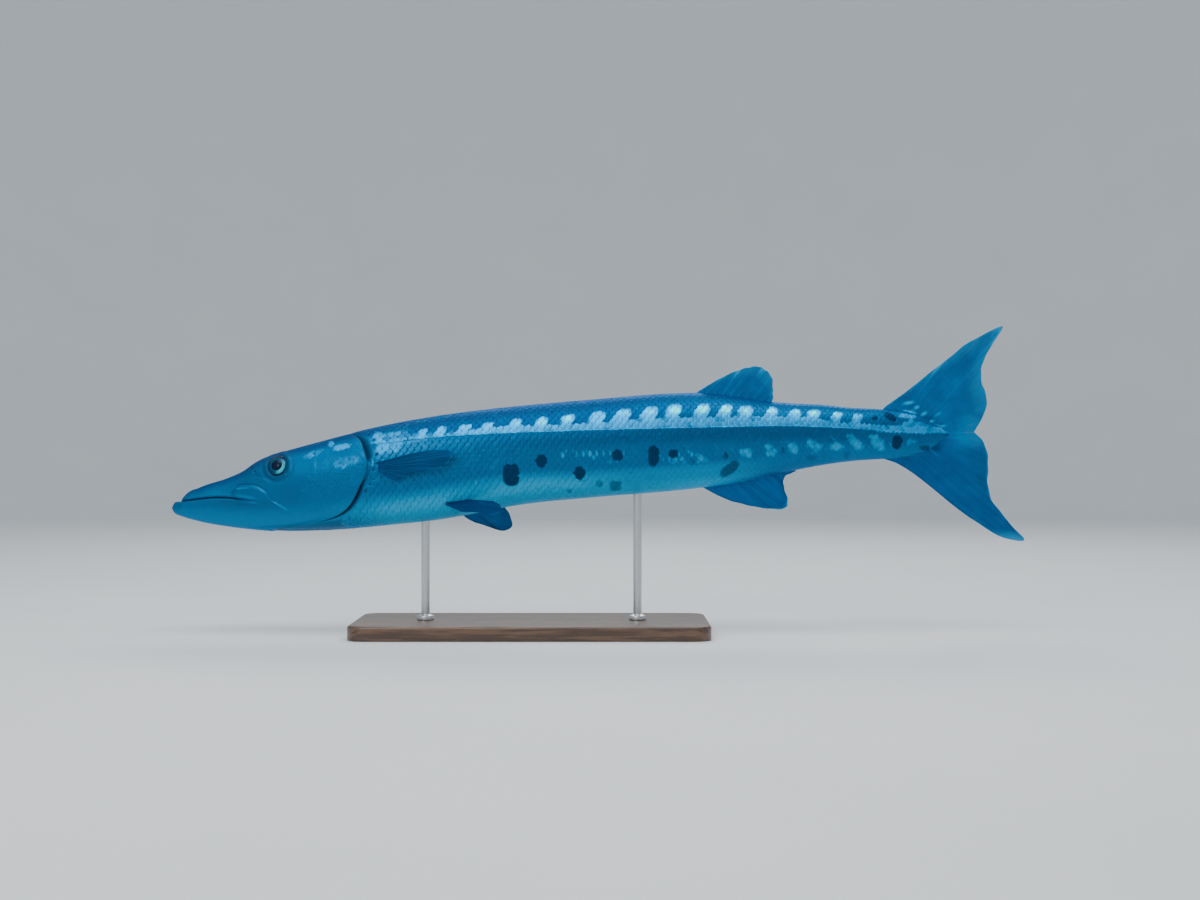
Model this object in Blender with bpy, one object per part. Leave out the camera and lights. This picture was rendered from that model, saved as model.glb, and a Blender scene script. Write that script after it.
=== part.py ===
"""A great barracuda at life size, as a still museum model on a plain display stand.

The fish is modelled in millimetres of the real animal, turned into metres at the end of each
formula. It lies along X with the jaw tip at -X and its left side at -Y. Lengths run from the tip
of the lower jaw, heights from the middle of the tail's root. The origin is the middle of the
underside of the stand, on the floor.
"""

import math

import bmesh
import bpy
import numpy as np
from mathutils import Matrix, Vector

# Driving dimensions, in millimetres
MM = 0.001
TOUCH_GAP = 0.3  # left between two nodes that meet
STAND_AT = 510.0  # from the jaw tip back to the middle of the stand, under the fish's weight
AXIS_HEIGHT = 284.0  # the tail root's middle above the floor
HEAD_END = 248.0
TRUNK_SPLIT = 560.0
TAIL_START = 850.0
BODY_END = 1104.0

# The body's outline from the side, as (length, height) pairs
BACK = (
    (0, -106), (3, -101), (12.6, -95), (18.2, -86), (39, -74.6), (81, -61.3), (102, -51.8),
    (120, -39.2), (134, -32.2), (151, -26.9), (207, -12.3), (280, 7), (375, 24.9), (487, 38.5),
    (599, 48.4), (711, 56), (753, 56.7), (802, 51.1), (844, 43.4), (879, 39.2), (921, 37.4),
    (963, 32.5), (1005, 30), (1042, 28), (1066, 22), (1088, 12), (1104, 2.5),
)
BELLY = (
    (0, -106.1), (3, -112.7), (12.6, -118), (39, -124.6), (81, -131.6), (134, -136.5),
    (179, -137.5), (242, -134.4), (319, -126.8), (375, -120.8), (431, -111.3), (487, -100.8),
    (599, -88.6), (711, -79.1), (802, -67.9), (879, -51.8), (921, -42.8), (963, -37),
    (1005, -35), (1042, -34.5), (1066, -28), (1088, -16), (1104, -3.5),
)
HALF_WIDTH = (
    (0, 3), (3, 6.5), (12.6, 10.5), (39, 16), (81, 22), (120, 29.5), (151, 35.5), (207, 45),
    (280, 52), (375, 54.5), (487, 53.5), (599, 51), (711, 46.5), (802, 39.5), (879, 31.5),
    (963, 23.5), (1026, 15.5), (1058, 10), (1084, 5.5), (1104, 2.4),
)
# How far up the section it is widest, as a share of its depth, and how square each half is
WIDEST = ((0, 0.5), (81, 0.42), (151, 0.42), (280, 0.5), (700, 0.52), (1104, 0.5))
UPPER_POWER = ((0, 2), (81, 2.3), (140, 3), (207, 2.6), (375, 2.25), (1104, 2.1))
LOWER_POWER = ((0, 2), (81, 2.1), (280, 2.3), (700, 2.2), (1104, 2.1))
# The gentle swimming bend, as the body's shift to the fish's right
SWAY = ((0, 5), (150, 1), (350, -3), (600, -3), (850, 4), (1026, 13), (1215, 27))
SIDE_COLUMNS = 14  # flats round one side of the body
TRUNK_SPACING = 28.0
STALK_SPACING = 17.0

# Mouth: the line of the closed lips from the front to the corner, then the fold behind the jaw
MOUTH_LINE = (
    (-6, -96), (12, -96), (21, -95.2), (47.8, -92.1), (60.6, -91), (81.7, -91), (101.5, -93), (131, -97.5),
)
JAW_FOLD = ((145, -101.5), (167, -113.5), (182, -128), (190, -146))
MOUTH_GAP = 1.2
FOLD_GAP = 0.5
LIP_SPAN = (16.0, 30.0, 112.0, 134.0)  # the lips swell up, stay full, and die away at the corner
LIP_RISE = 1.3
UPPER_JAW_PLATE = (
    (89, -83, -86), (93, -77.5, -89), (101.5, -73.6, -94), (112, -72.9, -97.5), (122.6, -73.6, -101),
    (135.2, -79.1, -102.8), (142, -85.2, -99.5), (144.5, -91, -94.5),
)  # length, upper edge and lower edge of the plate over the mouth's corner
PLATE_RISE = 1.3
PLATE_SINK = 3.0

# Head
EYE_AT = (155.0, -45.7)
EYE_RADIUS = 16.0
EYE_DEPTH = 10.0  # half its thickness
EYE_PROUD = 4.0
NOSTRILS = ((118.5, -49.5, 2.4), (123, -54.6, 1.8))  # length, height and size of each opening
GILL_EDGE = (
    (250, -2.8), (263.5, -5.3), (276.7, -10.9), (284, -22.1), (288.5, -34.9), (287.8, -46), (282, -60),
    (277.1, -72), (271.1, -86.8), (263.5, -99.2), (252.4, -110.3), (237.8, -119), (212.8, -127.1),
    (184, -134),
)
GILL_FRONT = (
    (232, -12), (210, -24), (196, -48), (192, -80), (186, -101), (174, -118), (156, -131),
)
GILL_TOP_TURN = 0.06  # from the slit's top to the cover's
GILL_LAST_TURN = 0.93 * math.pi  # the cover ends beside the throat
GROW_TURN = 0.02  # turn round the body for each millimetre
GILL_RISE = (0.2, 2.2)  # over the skin, at the front and at the free edge
GILL_EDGE_THINNING = 0.8
GILL_SINK = 3.2

# Fins, each as (share from first ray to last, length, height) for its root and its margin
FIRST_DORSAL = (
    ((0, 392, 22), (1, 468, 30)),
    ((0, 400, 31.5), (0.3, 436, 38), (1, 520, 43.5)),
)
SECOND_DORSAL = (
    ((0, 735, 50), (1, 846, 36)),
    (
        (0, 744, 62.5), (0.08, 757, 71.2), (0.2, 786, 85.4), (0.38, 818, 95), (0.48, 830, 96),
        (0.6, 841, 91.1), (0.72, 851, 79.7), (0.86, 854.4, 62), (1, 859, 48.5),
    ),
)
ANAL = (
    ((0, 742, -66), (1, 868, -44)),
    (
        (0, 752, -76.5), (0.1, 781.6, -91.9), (0.25, 818.5, -103.3), (0.4, 851, -107.5), (0.5, 870, -107),
        (0.6, 874, -97), (0.75, 868.5, -76), (0.88, 870, -62), (1, 886, -54),
    ),
)
UPPER_TAIL = (
    ((0, 1000, 24), (0.35, 1040, 20), (0.7, 1072, 10), (1, 1090, -0.5)),
    (
        (0, 1019, 36), (0.1, 1048.5, 56.5), (0.2, 1078.5, 85.5), (0.3, 1107, 109), (0.4, 1140, 133.4),
        (0.47, 1184, 153.5), (0.53, 1169, 128), (0.6, 1158.5, 109), (0.68, 1153, 91.9),
        (0.76, 1154.2, 71.9), (0.84, 1160.7, 51.9), (0.91, 1158.5, 30.5), (0.96, 1150, 14.8),
        (1, 1142.2, 2.1),
    ),
)
LOWER_TAIL = (
    ((0, 1090, -1.2), (0.3, 1072, -15), (0.65, 1040, -27), (1, 1000, -33)),
    (
        (0, 1142.2, 1.4), (0.04, 1152.8, -8.1), (0.1, 1160.7, -24.5), (0.18, 1163, -46.7),
        (0.27, 1163, -75.2), (0.34, 1168.5, -96.7), (0.4, 1181.4, -112.4), (0.46, 1199, -134),
        (0.52, 1216, -153), (0.58, 1188, -150.5), (0.68, 1143, -125.2), (0.8, 1098.5, -92.4),
        (0.9, 1066.4, -63.8),
        (0.95, 1044, -48), (1, 1021.4, -39.5),
    ),
)
PECTORAL = (
    ((0, 297, -41), (1, 300, -54)),
    (
        (0, 312, -37.5), (0.12, 351, -27.7), (0.24, 378, -23.2), (0.33, 402, -23.5), (0.42, 405, -33),
        (0.55, 392, -46), (0.7, 362, -54), (0.8, 340, -60), (0.9, 327, -67), (1, 309, -58),
    ),
)
# The pelvic fins' heights are widths instead, measured out from the line they grow along
PELVIC = (
    ((0, 388, -6), (1, 404, -10)),
    (
        (0, 404, 18), (0.2, 422, 34), (0.4, 446, 47), (0.55, 463, 55), (0.68, 478, 54),
        (0.84, 478, 38), (1, 468, 18),
    ),
)
PELVIC_LINE = (395.0, -98.0, 0.17)  # a length, its height and the line's slope
PELVIC_TILT = {-1: math.radians(26), 1: math.radians(78)}  # down from level, left and right
PECTORAL_OUT = ((0, -3), (0.06, 0.8), (0.2, 3.5), (1, 17))  # (share of its length, off the skin)
FIN_RAYS = {"dorsal": 10, "anal": 10, "tail": 12, "pectoral": 13, "pelvic": 6, "folded": 5}
MEMBRANE = (1.1, 0.28)  # half its thickness at the root and at the margin
RAY_RISE = (0.9, 0.16)  # each ray's height over the membrane, at the same places
FOLDED_MEMBRANE = (2.0, 1.2)

# Stand
BASE_SIZE = (500.0, 200.0, 20.0)
BASE_CORNER = 24.0
BASE_BEVEL = 3.0
ROD_RADIUS = 6.0
ROD_SPREAD = 150.0  # each rod's distance from the stand's middle
ROD_SIDES = 20
COLLAR_RADIUS = 12.0
COLLAR_HEIGHT = 6.0
COLLAR_SLOPE = 2.0
ROD_SINK = 12.0  # how far the uncut rod runs into the fish

# Colour, roughness and metallic value of each material
FINISHES = {
    "back": ((0.10, 0.20, 0.27), 0.35, 0.3),
    "flank": ((0.33, 0.46, 0.52), 0.28, 0.5),
    "jaw": ((0.38, 0.50, 0.55), 0.32, 0.4),
    "fin": ((0.09, 0.16, 0.22), 0.45, 0.0),
    "eye": ((0.03, 0.05, 0.07), 0.08, 0.0),
    "base": ((0.10, 0.055, 0.03), 0.4, 0.0),
    "rod": ((0.6, 0.6, 0.6), 0.3, 1.0),
}


def clear_scene():
    for obj in list(bpy.data.objects):
        bpy.data.objects.remove(obj)


def smooth(points, at):
    """A smooth curve through (place, value) pairs, read at one place or many: a cubic between
    neighbours, whose slope at each pair comes from the pairs beside it."""
    places, values = np.array(points, float).T
    slopes = np.gradient(values, places)
    at = np.clip(np.asarray(at, float), places[0], places[-1])
    i = np.clip(np.searchsorted(places, at) - 1, 0, len(places) - 2)
    step = places[i + 1] - places[i]
    t = (at - places[i]) / step
    return (
        values[i] * (1 + 2 * t) * (1 - t) ** 2
        + slopes[i] * step * t * (1 - t) ** 2
        + values[i + 1] * t * t * (3 - 2 * t)
        + slopes[i + 1] * step * t * t * (t - 1)
    )


def column(points, first, second):
    """Two of the columns of a list of points, as pairs."""
    return [(point[first], point[second]) for point in points]


def section(length):
    """The body's section there: top, widest and bottom height, half width and both powers."""
    top, bottom = smooth(BACK, length), smooth(BELLY, length)
    middle = bottom + (top - bottom) * smooth(WIDEST, length)
    powers = smooth(UPPER_POWER, length), smooth(LOWER_POWER, length)
    return top, middle, bottom, smooth(HALF_WIDTH, length), *powers


def world(length, side, height):
    """Fish millimetres to metres from the stand's middle, with the swimming bend added."""
    x = np.asarray(length, float) - STAND_AT
    y = np.asarray(side, float) + smooth(SWAY, length)
    z = np.asarray(height, float) + AXIS_HEIGHT
    return np.stack(np.broadcast_arrays(x, y, z), -1) * MM


def skin(length, turn, rise=0.0, side=-1):
    """A point on the skin: turn runs from 0 on the back to pi under the belly, and rise lifts it
    off the skin along the section's own normal. The section is a superellipse in two halves."""
    length, turn = np.broadcast_arrays(np.asarray(length, float), np.asarray(turn, float))
    top, middle, bottom, half_width, upper, lower = section(length)
    is_upper = turn < math.pi / 2
    power = np.where(is_upper, upper, lower)
    reach = np.where(is_upper, top - middle, middle - bottom)
    across = np.abs(np.sin(turn)) ** (2 / power)
    along = np.abs(np.cos(turn)) ** (2 / power)
    sign = np.where(is_upper, 1.0, -1.0)
    normal_y = across ** (power - 1) / half_width
    normal_z = along ** (power - 1) / reach
    size = np.hypot(normal_y, normal_z)
    y = half_width * across + rise * normal_y / size
    z = reach * along + rise * normal_z / size
    return world(length, side * y, middle + sign * z)


def turn_at(length, height):
    """The turn at which the skin has that height."""
    top, middle, bottom, _, upper, lower = section(length)
    up = np.clip((height - middle) / (top - middle), 0, 1) ** (upper / 2)
    down = np.clip((middle - height) / (middle - bottom), 0, 1) ** (lower / 2)
    return np.arccos(np.where(height > middle, up, -down))


def half_width_at(length, height):
    """How far the skin stands from the midplane at that height."""
    point = skin(length, turn_at(length, height))
    return -point[..., 1] / MM + smooth(SWAY, length)


def material(finish):
    made = bpy.data.materials.get(finish)
    if made is None:
        colour, roughness, metallic = FINISHES[finish]
        made = bpy.data.materials.new(finish)
        made.use_nodes = True
        shader = made.node_tree.nodes["Principled BSDF"]
        shader.inputs["Base Color"].default_value = (*colour, 1)
        shader.inputs["Roughness"].default_value = roughness
        shader.inputs["Metallic"].default_value = metallic
    return made


def new_object(name, points, faces, finish):
    """A mesh object whose faces all point out of the closed surface."""
    mesh = bpy.data.meshes.new(name)
    mesh.from_pydata([tuple(p) for p in points], [], faces)
    work = bmesh.new()
    work.from_mesh(mesh)
    bmesh.ops.recalc_face_normals(work, faces=work.faces)
    work.to_mesh(mesh)
    work.free()
    obj = bpy.data.objects.new(name, mesh)
    bpy.context.scene.collection.objects.link(obj)
    mesh.materials.append(material(finish))
    return obj


def tube(name, rings, finish):
    """A closed solid through rings of points, shape (rings, points, 3), with flat ends."""
    count, around = rings.shape[:2]
    here = np.arange(around)
    after = (here + 1) % around
    faces = []
    for low in range(0, (count - 1) * around, around):
        high = low + around
        faces += np.stack([low + here, low + after, high + after, high + here], 1).tolist()
    faces.append(here[::-1].tolist())
    faces.append((here + (count - 1) * around).tolist())
    return new_object(name, rings.reshape(-1, 3), faces, finish)


def slab(name, outer, inner, finish):
    """A closed solid between two grids of points, both split into triangles alike."""
    rows, columns = outer.shape[:2]
    number = np.arange(rows * columns).reshape(rows, columns)
    far = rows * columns
    a, b = number[:-1, :-1].ravel(), number[:-1, 1:].ravel()
    c, d = number[1:, 1:].ravel(), number[1:, :-1].ravel()
    halves = np.concatenate([np.stack([a, b, c], 1), np.stack([a, c, d], 1)])
    rim = np.concatenate([number[0], number[1:, -1], number[-1, -2::-1], number[-2:0:-1, 0]])
    after = np.roll(rim, -1)
    walls = [np.stack([after, rim, far + rim], 1), np.stack([after, far + rim, far + after], 1)]
    faces = np.concatenate([halves, far + halves[:, ::-1], *walls]).tolist()
    points = np.concatenate([outer.reshape(-1, 3), inner.reshape(-1, 3)])
    return new_object(name, points, faces, finish)


def remove(*objects):
    for obj in objects:
        bpy.data.objects.remove(obj)


def cut(obj, *cutters):
    """Cuts the cutters out of obj for good, and removes them."""
    for cutter in cutters:
        modifier = obj.modifiers.new("cut", "BOOLEAN")
        modifier.operation = "DIFFERENCE"
        modifier.solver = "EXACT"
        modifier.object = cutter
    bpy.context.view_layer.update()
    graph = bpy.context.evaluated_depsgraph_get()
    made = bpy.data.meshes.new_from_object(obj.evaluated_get(graph))
    obj.modifiers.clear()
    obj.data = made
    remove(*cutters)
    return obj


def pieces_of(obj):
    """Sets of vertex numbers, one for each closed surface of obj, the largest first."""
    work = bmesh.new()
    work.from_mesh(obj.data)
    left, found = set(work.verts), []
    while left:
        group, edge = set(), [left.pop()]
        while edge:
            vertex = edge.pop()
            group.add(vertex.index)
            for link in vertex.link_edges:
                other = link.other_vert(vertex)
                if other in left:
                    left.discard(other)
                    edge.append(other)
        found.append(group)
    work.free()
    return sorted(found, key=len, reverse=True)


def keep(obj, numbers):
    """Leaves only the vertices with those numbers."""
    work = bmesh.new()
    work.from_mesh(obj.data)
    bmesh.ops.delete(work, geom=[v for v in work.verts if v.index not in numbers], context="VERTS")
    work.to_mesh(obj.data)
    work.free()
    return obj


def shade_round(obj, angle=35):
    obj.data.shade_smooth()
    obj.data.set_sharp_from_angle(angle=math.radians(angle))


# Body

def ring_points(lengths, turns, rise=0.0):
    """Whole rings: the left side from the back down, then the right side up again."""
    lengths = np.asarray(lengths, float)[:, None]
    turns = np.broadcast_to(turns, (len(lengths), np.shape(turns)[-1]))
    rise = np.broadcast_to(rise, turns.shape)
    left = skin(lengths, turns, rise, -1)
    right = skin(lengths, turns[:, -2:0:-1], rise[:, -2:0:-1], 1)
    return np.concatenate([left, right], axis=1)


def body_length(name, start, end, spacing, finish, rise=0.0):
    """One length of the body between two flat cuts across it."""
    lengths = np.linspace(start, end, max(2, round((end - start) / spacing) + 1))
    turns = np.linspace(0, math.pi, SIDE_COLUMNS + 1)
    return tube(name, ring_points(lengths, turns, rise), finish)


def head_rings():
    """The head's rings. The middle column follows the mouth line, where the lips swell."""
    half = SIDE_COLUMNS // 2
    tip = [0.6, 2.4, 6, 10, 14, 18.2, 24, 31]
    lengths = np.array(tip + list(np.arange(40, HEAD_END - 6, 8.4)) + [HEAD_END - TOUCH_GAP / 2])
    line_height = smooth(MOUTH_LINE + ((190, -95), (HEAD_END, -66)), lengths)
    line = np.where(lengths < 14, 0.42 * math.pi, turn_at(lengths, line_height))[:, None]
    shares = np.linspace(0, 1, half + 1)
    turns = np.concatenate([line * shares, line + (math.pi - line) * shares[1:]], 1)
    lip = np.interp(lengths, LIP_SPAN, [0, 1, 1, 0])[:, None] * LIP_RISE
    near_line = np.maximum(0, 1 - np.abs(np.arange(SIDE_COLUMNS + 1) - half) / 1.4)
    return ring_points(lengths, turns, lip * near_line)


def mouth_curtain():
    """A thin wall right through the head, along the mouth line and down behind the jaw."""
    route = np.array(MOUTH_LINE + JAW_FOLD, float)
    along = np.linspace(0, 1, len(route))
    places = np.linspace(0, 1, 40)
    path = np.stack([smooth(np.stack([along, route[:, k]], 1), places) for k in (0, 1)], 1)
    direction = np.gradient(path, axis=0)
    across = np.stack([-direction[:, 1], direction[:, 0]], 1)
    across /= np.linalg.norm(across, axis=1)[:, None]
    width = np.interp(path[:, 0], LIP_SPAN[2:], (MOUTH_GAP, FOLD_GAP))[:, None]
    reach = np.array([-90.0, 90.0])
    edges = [path + across * width / 2, path - across * width / 2]
    grids = [world(edge[:, :1], reach, edge[:, 1:]) for edge in edges]
    return slab("mouth_curtain", grids[0], grids[1], "jaw")


def gill_cover(name, side, finish, grow=0.0):
    """A bowed plate that lies in the skin at its front and stands off it at its free rear edge.
    grow widens it all round, for the recess that it lies in."""
    turns = np.linspace(turn_at(*GILL_EDGE[0]) + GILL_TOP_TURN, GILL_LAST_TURN, 15)
    turns[0] -= GROW_TURN * grow
    turns[-1] += GROW_TURN * grow
    edge = smooth([(turn_at(*point), point[0]) for point in GILL_EDGE], turns) + grow
    front = smooth([(turn_at(*point), point[0]) for point in GILL_FRONT], turns) - grow
    shares = np.linspace(0, 1, 7)
    lengths = front[:, None] + (edge - front)[:, None] * shares
    rise = GILL_RISE[0] + (GILL_RISE[1] - GILL_RISE[0]) * shares**2
    rise[-1] -= GILL_EDGE_THINNING
    outer = skin(lengths, turns[:, None], rise + grow, side)
    inner = skin(lengths, turns[:, None], -GILL_SINK - grow, side)
    return slab(name, outer, inner, finish)


def upper_jaw_plate(name, side, finish, grow=0.0):
    """The bony plate that slides over the mouth's corner, with a bowed face."""
    lengths = np.linspace(UPPER_JAW_PLATE[0][0] - grow, UPPER_JAW_PLATE[-1][0] + grow, 13)[:, None]
    shares = np.linspace(0, 1, 5)
    high = smooth(column(UPPER_JAW_PLATE, 0, 1), lengths) + grow
    low = smooth(column(UPPER_JAW_PLATE, 0, 2), lengths) - grow
    heights = low + (high - low) * shares
    turns = turn_at(lengths, heights)
    bow = np.sin(math.pi * np.clip(shares, 0.12, 0.88))
    outer = skin(lengths, turns, PLATE_RISE * bow + grow, side)
    inner = skin(lengths, turns, -PLATE_SINK - grow, side)
    return slab(name, outer, inner, finish)


def look_out(length, height, side, sink=0.0):
    """A placing whose Z axis looks out of the skin there, from sink millimetres under it."""
    step = 4.0
    here = Vector(skin(length, turn_at(length, height), 0, side))
    along = Vector(skin(length + step, turn_at(length + step, height), 0, side)) - here
    down = Vector(skin(length, turn_at(length, height - step), 0, side)) - here
    out = along.cross(down)
    if out.y * side < 0:
        out.negate()
    turned = out.normalized().to_track_quat("Z", "Y").to_matrix().to_4x4()
    return Matrix.Translation(here) @ turned @ Matrix.Translation((0, 0, -sink * MM))


def eye_ball(name, side, finish, grow=0.0):
    """A flattened ball that looks out of the head and stands a little proud of it."""
    tilt = np.linspace(0, math.pi, 12)[1:-1, None]
    turn = np.linspace(0, 2 * math.pi, 24, endpoint=False)
    radius, depth = EYE_RADIUS + grow, EYE_DEPTH + grow
    x = radius * np.sin(tilt) * np.cos(turn)
    y = radius * np.sin(tilt) * np.sin(turn)
    z = np.broadcast_to(depth * np.cos(tilt), x.shape)
    ball = tube(name, np.stack([x, y, z], -1) * MM, finish)
    ball.data.transform(look_out(*EYE_AT, side, EYE_DEPTH - EYE_PROUD))
    return ball


def nostril_pit(length, height, size, side):
    """An oval hole's cutter."""
    work = bmesh.new()
    bmesh.ops.create_uvsphere(work, u_segments=10, v_segments=6, radius=size * MM)
    mesh = bpy.data.meshes.new("nostril_pit")
    work.to_mesh(mesh)
    work.free()
    mesh.transform(look_out(length, height, side) @ Matrix.Diagonal((1.3, 0.8, 1.0, 1)))
    pit = bpy.data.objects.new("nostril_pit", mesh)
    bpy.context.scene.collection.objects.link(pit)
    return pit


def build_head():
    """Head and lower jaw, with the gill covers, upper jaw plates and eyes let into them."""
    head = tube("head", head_rings(), "back")
    cutters = [mouth_curtain()]
    for side, word in ((-1, "left"), (1, "right")):
        cutters.append(gill_cover("gill_recess", side, "back", TOUCH_GAP))
        cutters.append(upper_jaw_plate("plate_recess", side, "back", TOUCH_GAP))
        cutters.append(eye_ball("socket", side, "back", TOUCH_GAP))
        cutters += [nostril_pit(*opening, side) for opening in NOSTRILS]
        shade_round(gill_cover(f"gill_cover_{word}", side, "flank"))
        shade_round(upper_jaw_plate(f"upper_jaw_plate_{word}", side, "jaw"))
        shade_round(eye_ball(f"eye_{word}", side, "eye"))
    cut(head, *cutters)
    parts = pieces_of(head)[:2]
    parts.sort(key=lambda part: np.mean([head.data.vertices[i].co.z for i in part]))
    jaw = head.copy()
    jaw.data = head.data.copy()
    jaw.name = "lower_jaw"
    bpy.context.scene.collection.objects.link(jaw)
    jaw.data.materials.clear()
    jaw.data.materials.append(material("jaw"))
    shade_round(keep(jaw, parts[0]))
    shade_round(keep(head, parts[1]))


def build_body():
    """The trunk in two lengths, the first cut out behind the gill covers, and the tail's stalk."""
    half_gap = TOUCH_GAP / 2
    front = body_length("trunk_front", HEAD_END + half_gap, TRUNK_SPLIT - half_gap, TRUNK_SPACING, "flank")
    cut(front, *[gill_cover("gill_recess", side, "flank", TOUCH_GAP) for side in (-1, 1)])
    keep(front, pieces_of(front)[0])
    rear = body_length("trunk_rear", TRUNK_SPLIT + half_gap, TAIL_START - half_gap, TRUNK_SPACING, "flank")
    stalk = body_length("tail_stalk", TAIL_START + half_gap, BODY_END, STALK_SPACING, "flank")
    for obj in (front, rear, stalk):
        shade_round(obj)


# Fins

def in_midplane(grid, off):
    return world(grid[..., 0], off, grid[..., 1])


def on_flank(side):
    """Places the pectoral fin's plane over the flank: it stands further off towards its tip."""
    def place(grid, off):
        length, height = grid[..., 0], grid[..., 1]
        share = np.clip((length - length.min()) / np.ptp(length), 0, 1)
        out = smooth(PECTORAL_OUT, share)
        return world(length, side * (half_width_at(length, height) + out + off), height)
    return place


def off_belly(side):
    """Places the pelvic fin's plane: its widths run out and down from a line on the lower flank."""
    tilt = PELVIC_TILT[side]

    def place(grid, off):
        length, width = grid[..., 0], grid[..., 1]
        line = PELVIC_LINE[1] + PELVIC_LINE[2] * (length - PELVIC_LINE[0])
        out = width * math.cos(tilt) + off * math.sin(tilt)
        down = width * math.sin(tilt) - off * math.cos(tilt)
        return world(length, side * (half_width_at(length, line) + out), line - down)
    return place


def build_fin(name, outline, rays, rows, place, membrane=MEMBRANE):
    """A fin from its root's line out to its margin. Every second column of its grid is a ray, a
    ridge on both faces of the membrane, and the body is cut out of its root."""
    shares = np.linspace(0, 1, 2 * rays + 1)
    root, margin = (
        np.stack([smooth(column(line, 0, k), shares) for k in (1, 2)], -1) for line in outline
    )
    out = np.linspace(0, 1, rows)[:, None]
    grid = root + (margin - root) * out[..., None]
    ridge = np.arange(2 * rays + 1) % 2
    half = np.interp(out, (0, 1), membrane) + ridge * np.interp(out, (0, 1), RAY_RISE)
    fin = slab(name, place(grid, half), place(grid, -half), "fin")
    start, end = grid[..., 0].min() - 30, min(grid[0, :, 0].max() + 60, BODY_END)
    cut(fin, body_length("grown_body", start, end, STALK_SPACING, "flank", TOUCH_GAP))
    shade_round(keep(fin, pieces_of(fin)[0]))


def build_fins():
    build_fin("dorsal_fin_first", FIRST_DORSAL, FIN_RAYS["folded"], 3, in_midplane, FOLDED_MEMBRANE)
    build_fin("dorsal_fin_second", SECOND_DORSAL, FIN_RAYS["dorsal"], 7, in_midplane)
    build_fin("anal_fin", ANAL, FIN_RAYS["anal"], 7, in_midplane)
    build_fin("tail_fin_upper", UPPER_TAIL, FIN_RAYS["tail"], 8, in_midplane)
    build_fin("tail_fin_lower", LOWER_TAIL, FIN_RAYS["tail"], 8, in_midplane)
    for side, word in ((-1, "left"), (1, "right")):
        build_fin(f"pectoral_fin_{word}", PECTORAL, FIN_RAYS["pectoral"], 6, on_flank(side))
        build_fin(f"pelvic_fin_{word}", PELVIC, FIN_RAYS["pelvic"], 6, off_belly(side))


# Stand

def build_base():
    """A flat board with round corners and a bevelled top edge."""
    length, width, height = (size / 2 for size in BASE_SIZE)
    rings = []
    for level, inset in ((0, 0), (2 * height - BASE_BEVEL, 0), (2 * height, BASE_BEVEL)):
        radius = BASE_CORNER - inset
        outline = []
        for quarter, (along, across) in enumerate(((1, 1), (-1, 1), (-1, -1), (1, -1))):
            turn = np.linspace(0, math.pi / 2, 6) + quarter * math.pi / 2
            x = along * (length - BASE_CORNER) + radius * np.cos(turn)
            y = across * (width - BASE_CORNER) + radius * np.sin(turn)
            outline.append(np.stack([x, y, np.full(len(turn), level)], 1))
        rings.append(np.concatenate(outline))
    tube("stand_base", np.array(rings) * MM, "base")


def build_rod(name, place):
    """A rod with a collar round its foot. It ends face to face with the fish's belly."""
    length = STAND_AT + place
    foot = BASE_SIZE[2] + TOUCH_GAP
    collar = foot + COLLAR_HEIGHT
    top = AXIS_HEIGHT + smooth(BELLY, length) + ROD_SINK
    turn = np.linspace(0, 2 * math.pi, ROD_SIDES, endpoint=False)
    levels = np.array([foot, collar, collar + COLLAR_SLOPE, top])[:, None]
    radius = np.array([COLLAR_RADIUS, COLLAR_RADIUS, ROD_RADIUS, ROD_RADIUS])[:, None]
    x = place + radius * np.cos(turn)
    y = smooth(SWAY, length) + radius * np.sin(turn)
    rod = tube(name, np.stack([x, y, np.broadcast_to(levels, x.shape)], -1) * MM, "rod")
    cut(rod, body_length("grown_body", length - 40, length + 40, STALK_SPACING, "flank", TOUCH_GAP))
    shade_round(keep(rod, pieces_of(rod)[0]))


def main():
    clear_scene()
    build_head()
    build_body()
    build_fins()
    build_base()
    build_rod("stand_rod_front", -ROD_SPREAD)
    build_rod("stand_rod_rear", ROD_SPREAD)


main()
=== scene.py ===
"""A great barracuda at life size, made as a museum makes one: a painted skin over a body form,
scales laid one by one, glass eyes, ribbed fins, and a plain stand of board and rods.

Shapes are worked out in millimetres of the real fish. Lengths run back from the tip of the lower
jaw, heights from the middle of the tail's root, and the left side is at -Y.
"""

import math

import bmesh
import bpy
import numpy as np
from mathutils import Matrix, Vector

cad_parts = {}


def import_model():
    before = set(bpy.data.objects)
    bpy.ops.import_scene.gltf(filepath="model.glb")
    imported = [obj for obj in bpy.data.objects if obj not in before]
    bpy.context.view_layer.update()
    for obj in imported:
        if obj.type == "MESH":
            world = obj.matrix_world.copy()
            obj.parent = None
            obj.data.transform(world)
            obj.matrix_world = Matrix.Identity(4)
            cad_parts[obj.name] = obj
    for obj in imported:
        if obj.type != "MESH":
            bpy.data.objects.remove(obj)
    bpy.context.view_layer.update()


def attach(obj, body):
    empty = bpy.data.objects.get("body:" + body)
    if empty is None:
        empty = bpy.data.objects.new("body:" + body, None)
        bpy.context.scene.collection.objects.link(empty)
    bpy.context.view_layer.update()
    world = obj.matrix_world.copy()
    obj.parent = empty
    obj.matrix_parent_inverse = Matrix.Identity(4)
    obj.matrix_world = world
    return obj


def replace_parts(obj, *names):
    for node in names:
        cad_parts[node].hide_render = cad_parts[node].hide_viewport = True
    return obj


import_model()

# Skin. The fish's own skin, cast in one piece from the jaw tip to the root of the tail, with the
# closed mouth, the jaw's plates, the eye sockets, the nostrils and the free edge of the gill
# covers modelled in it. Under the scales it is darkened with painted shade.

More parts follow.
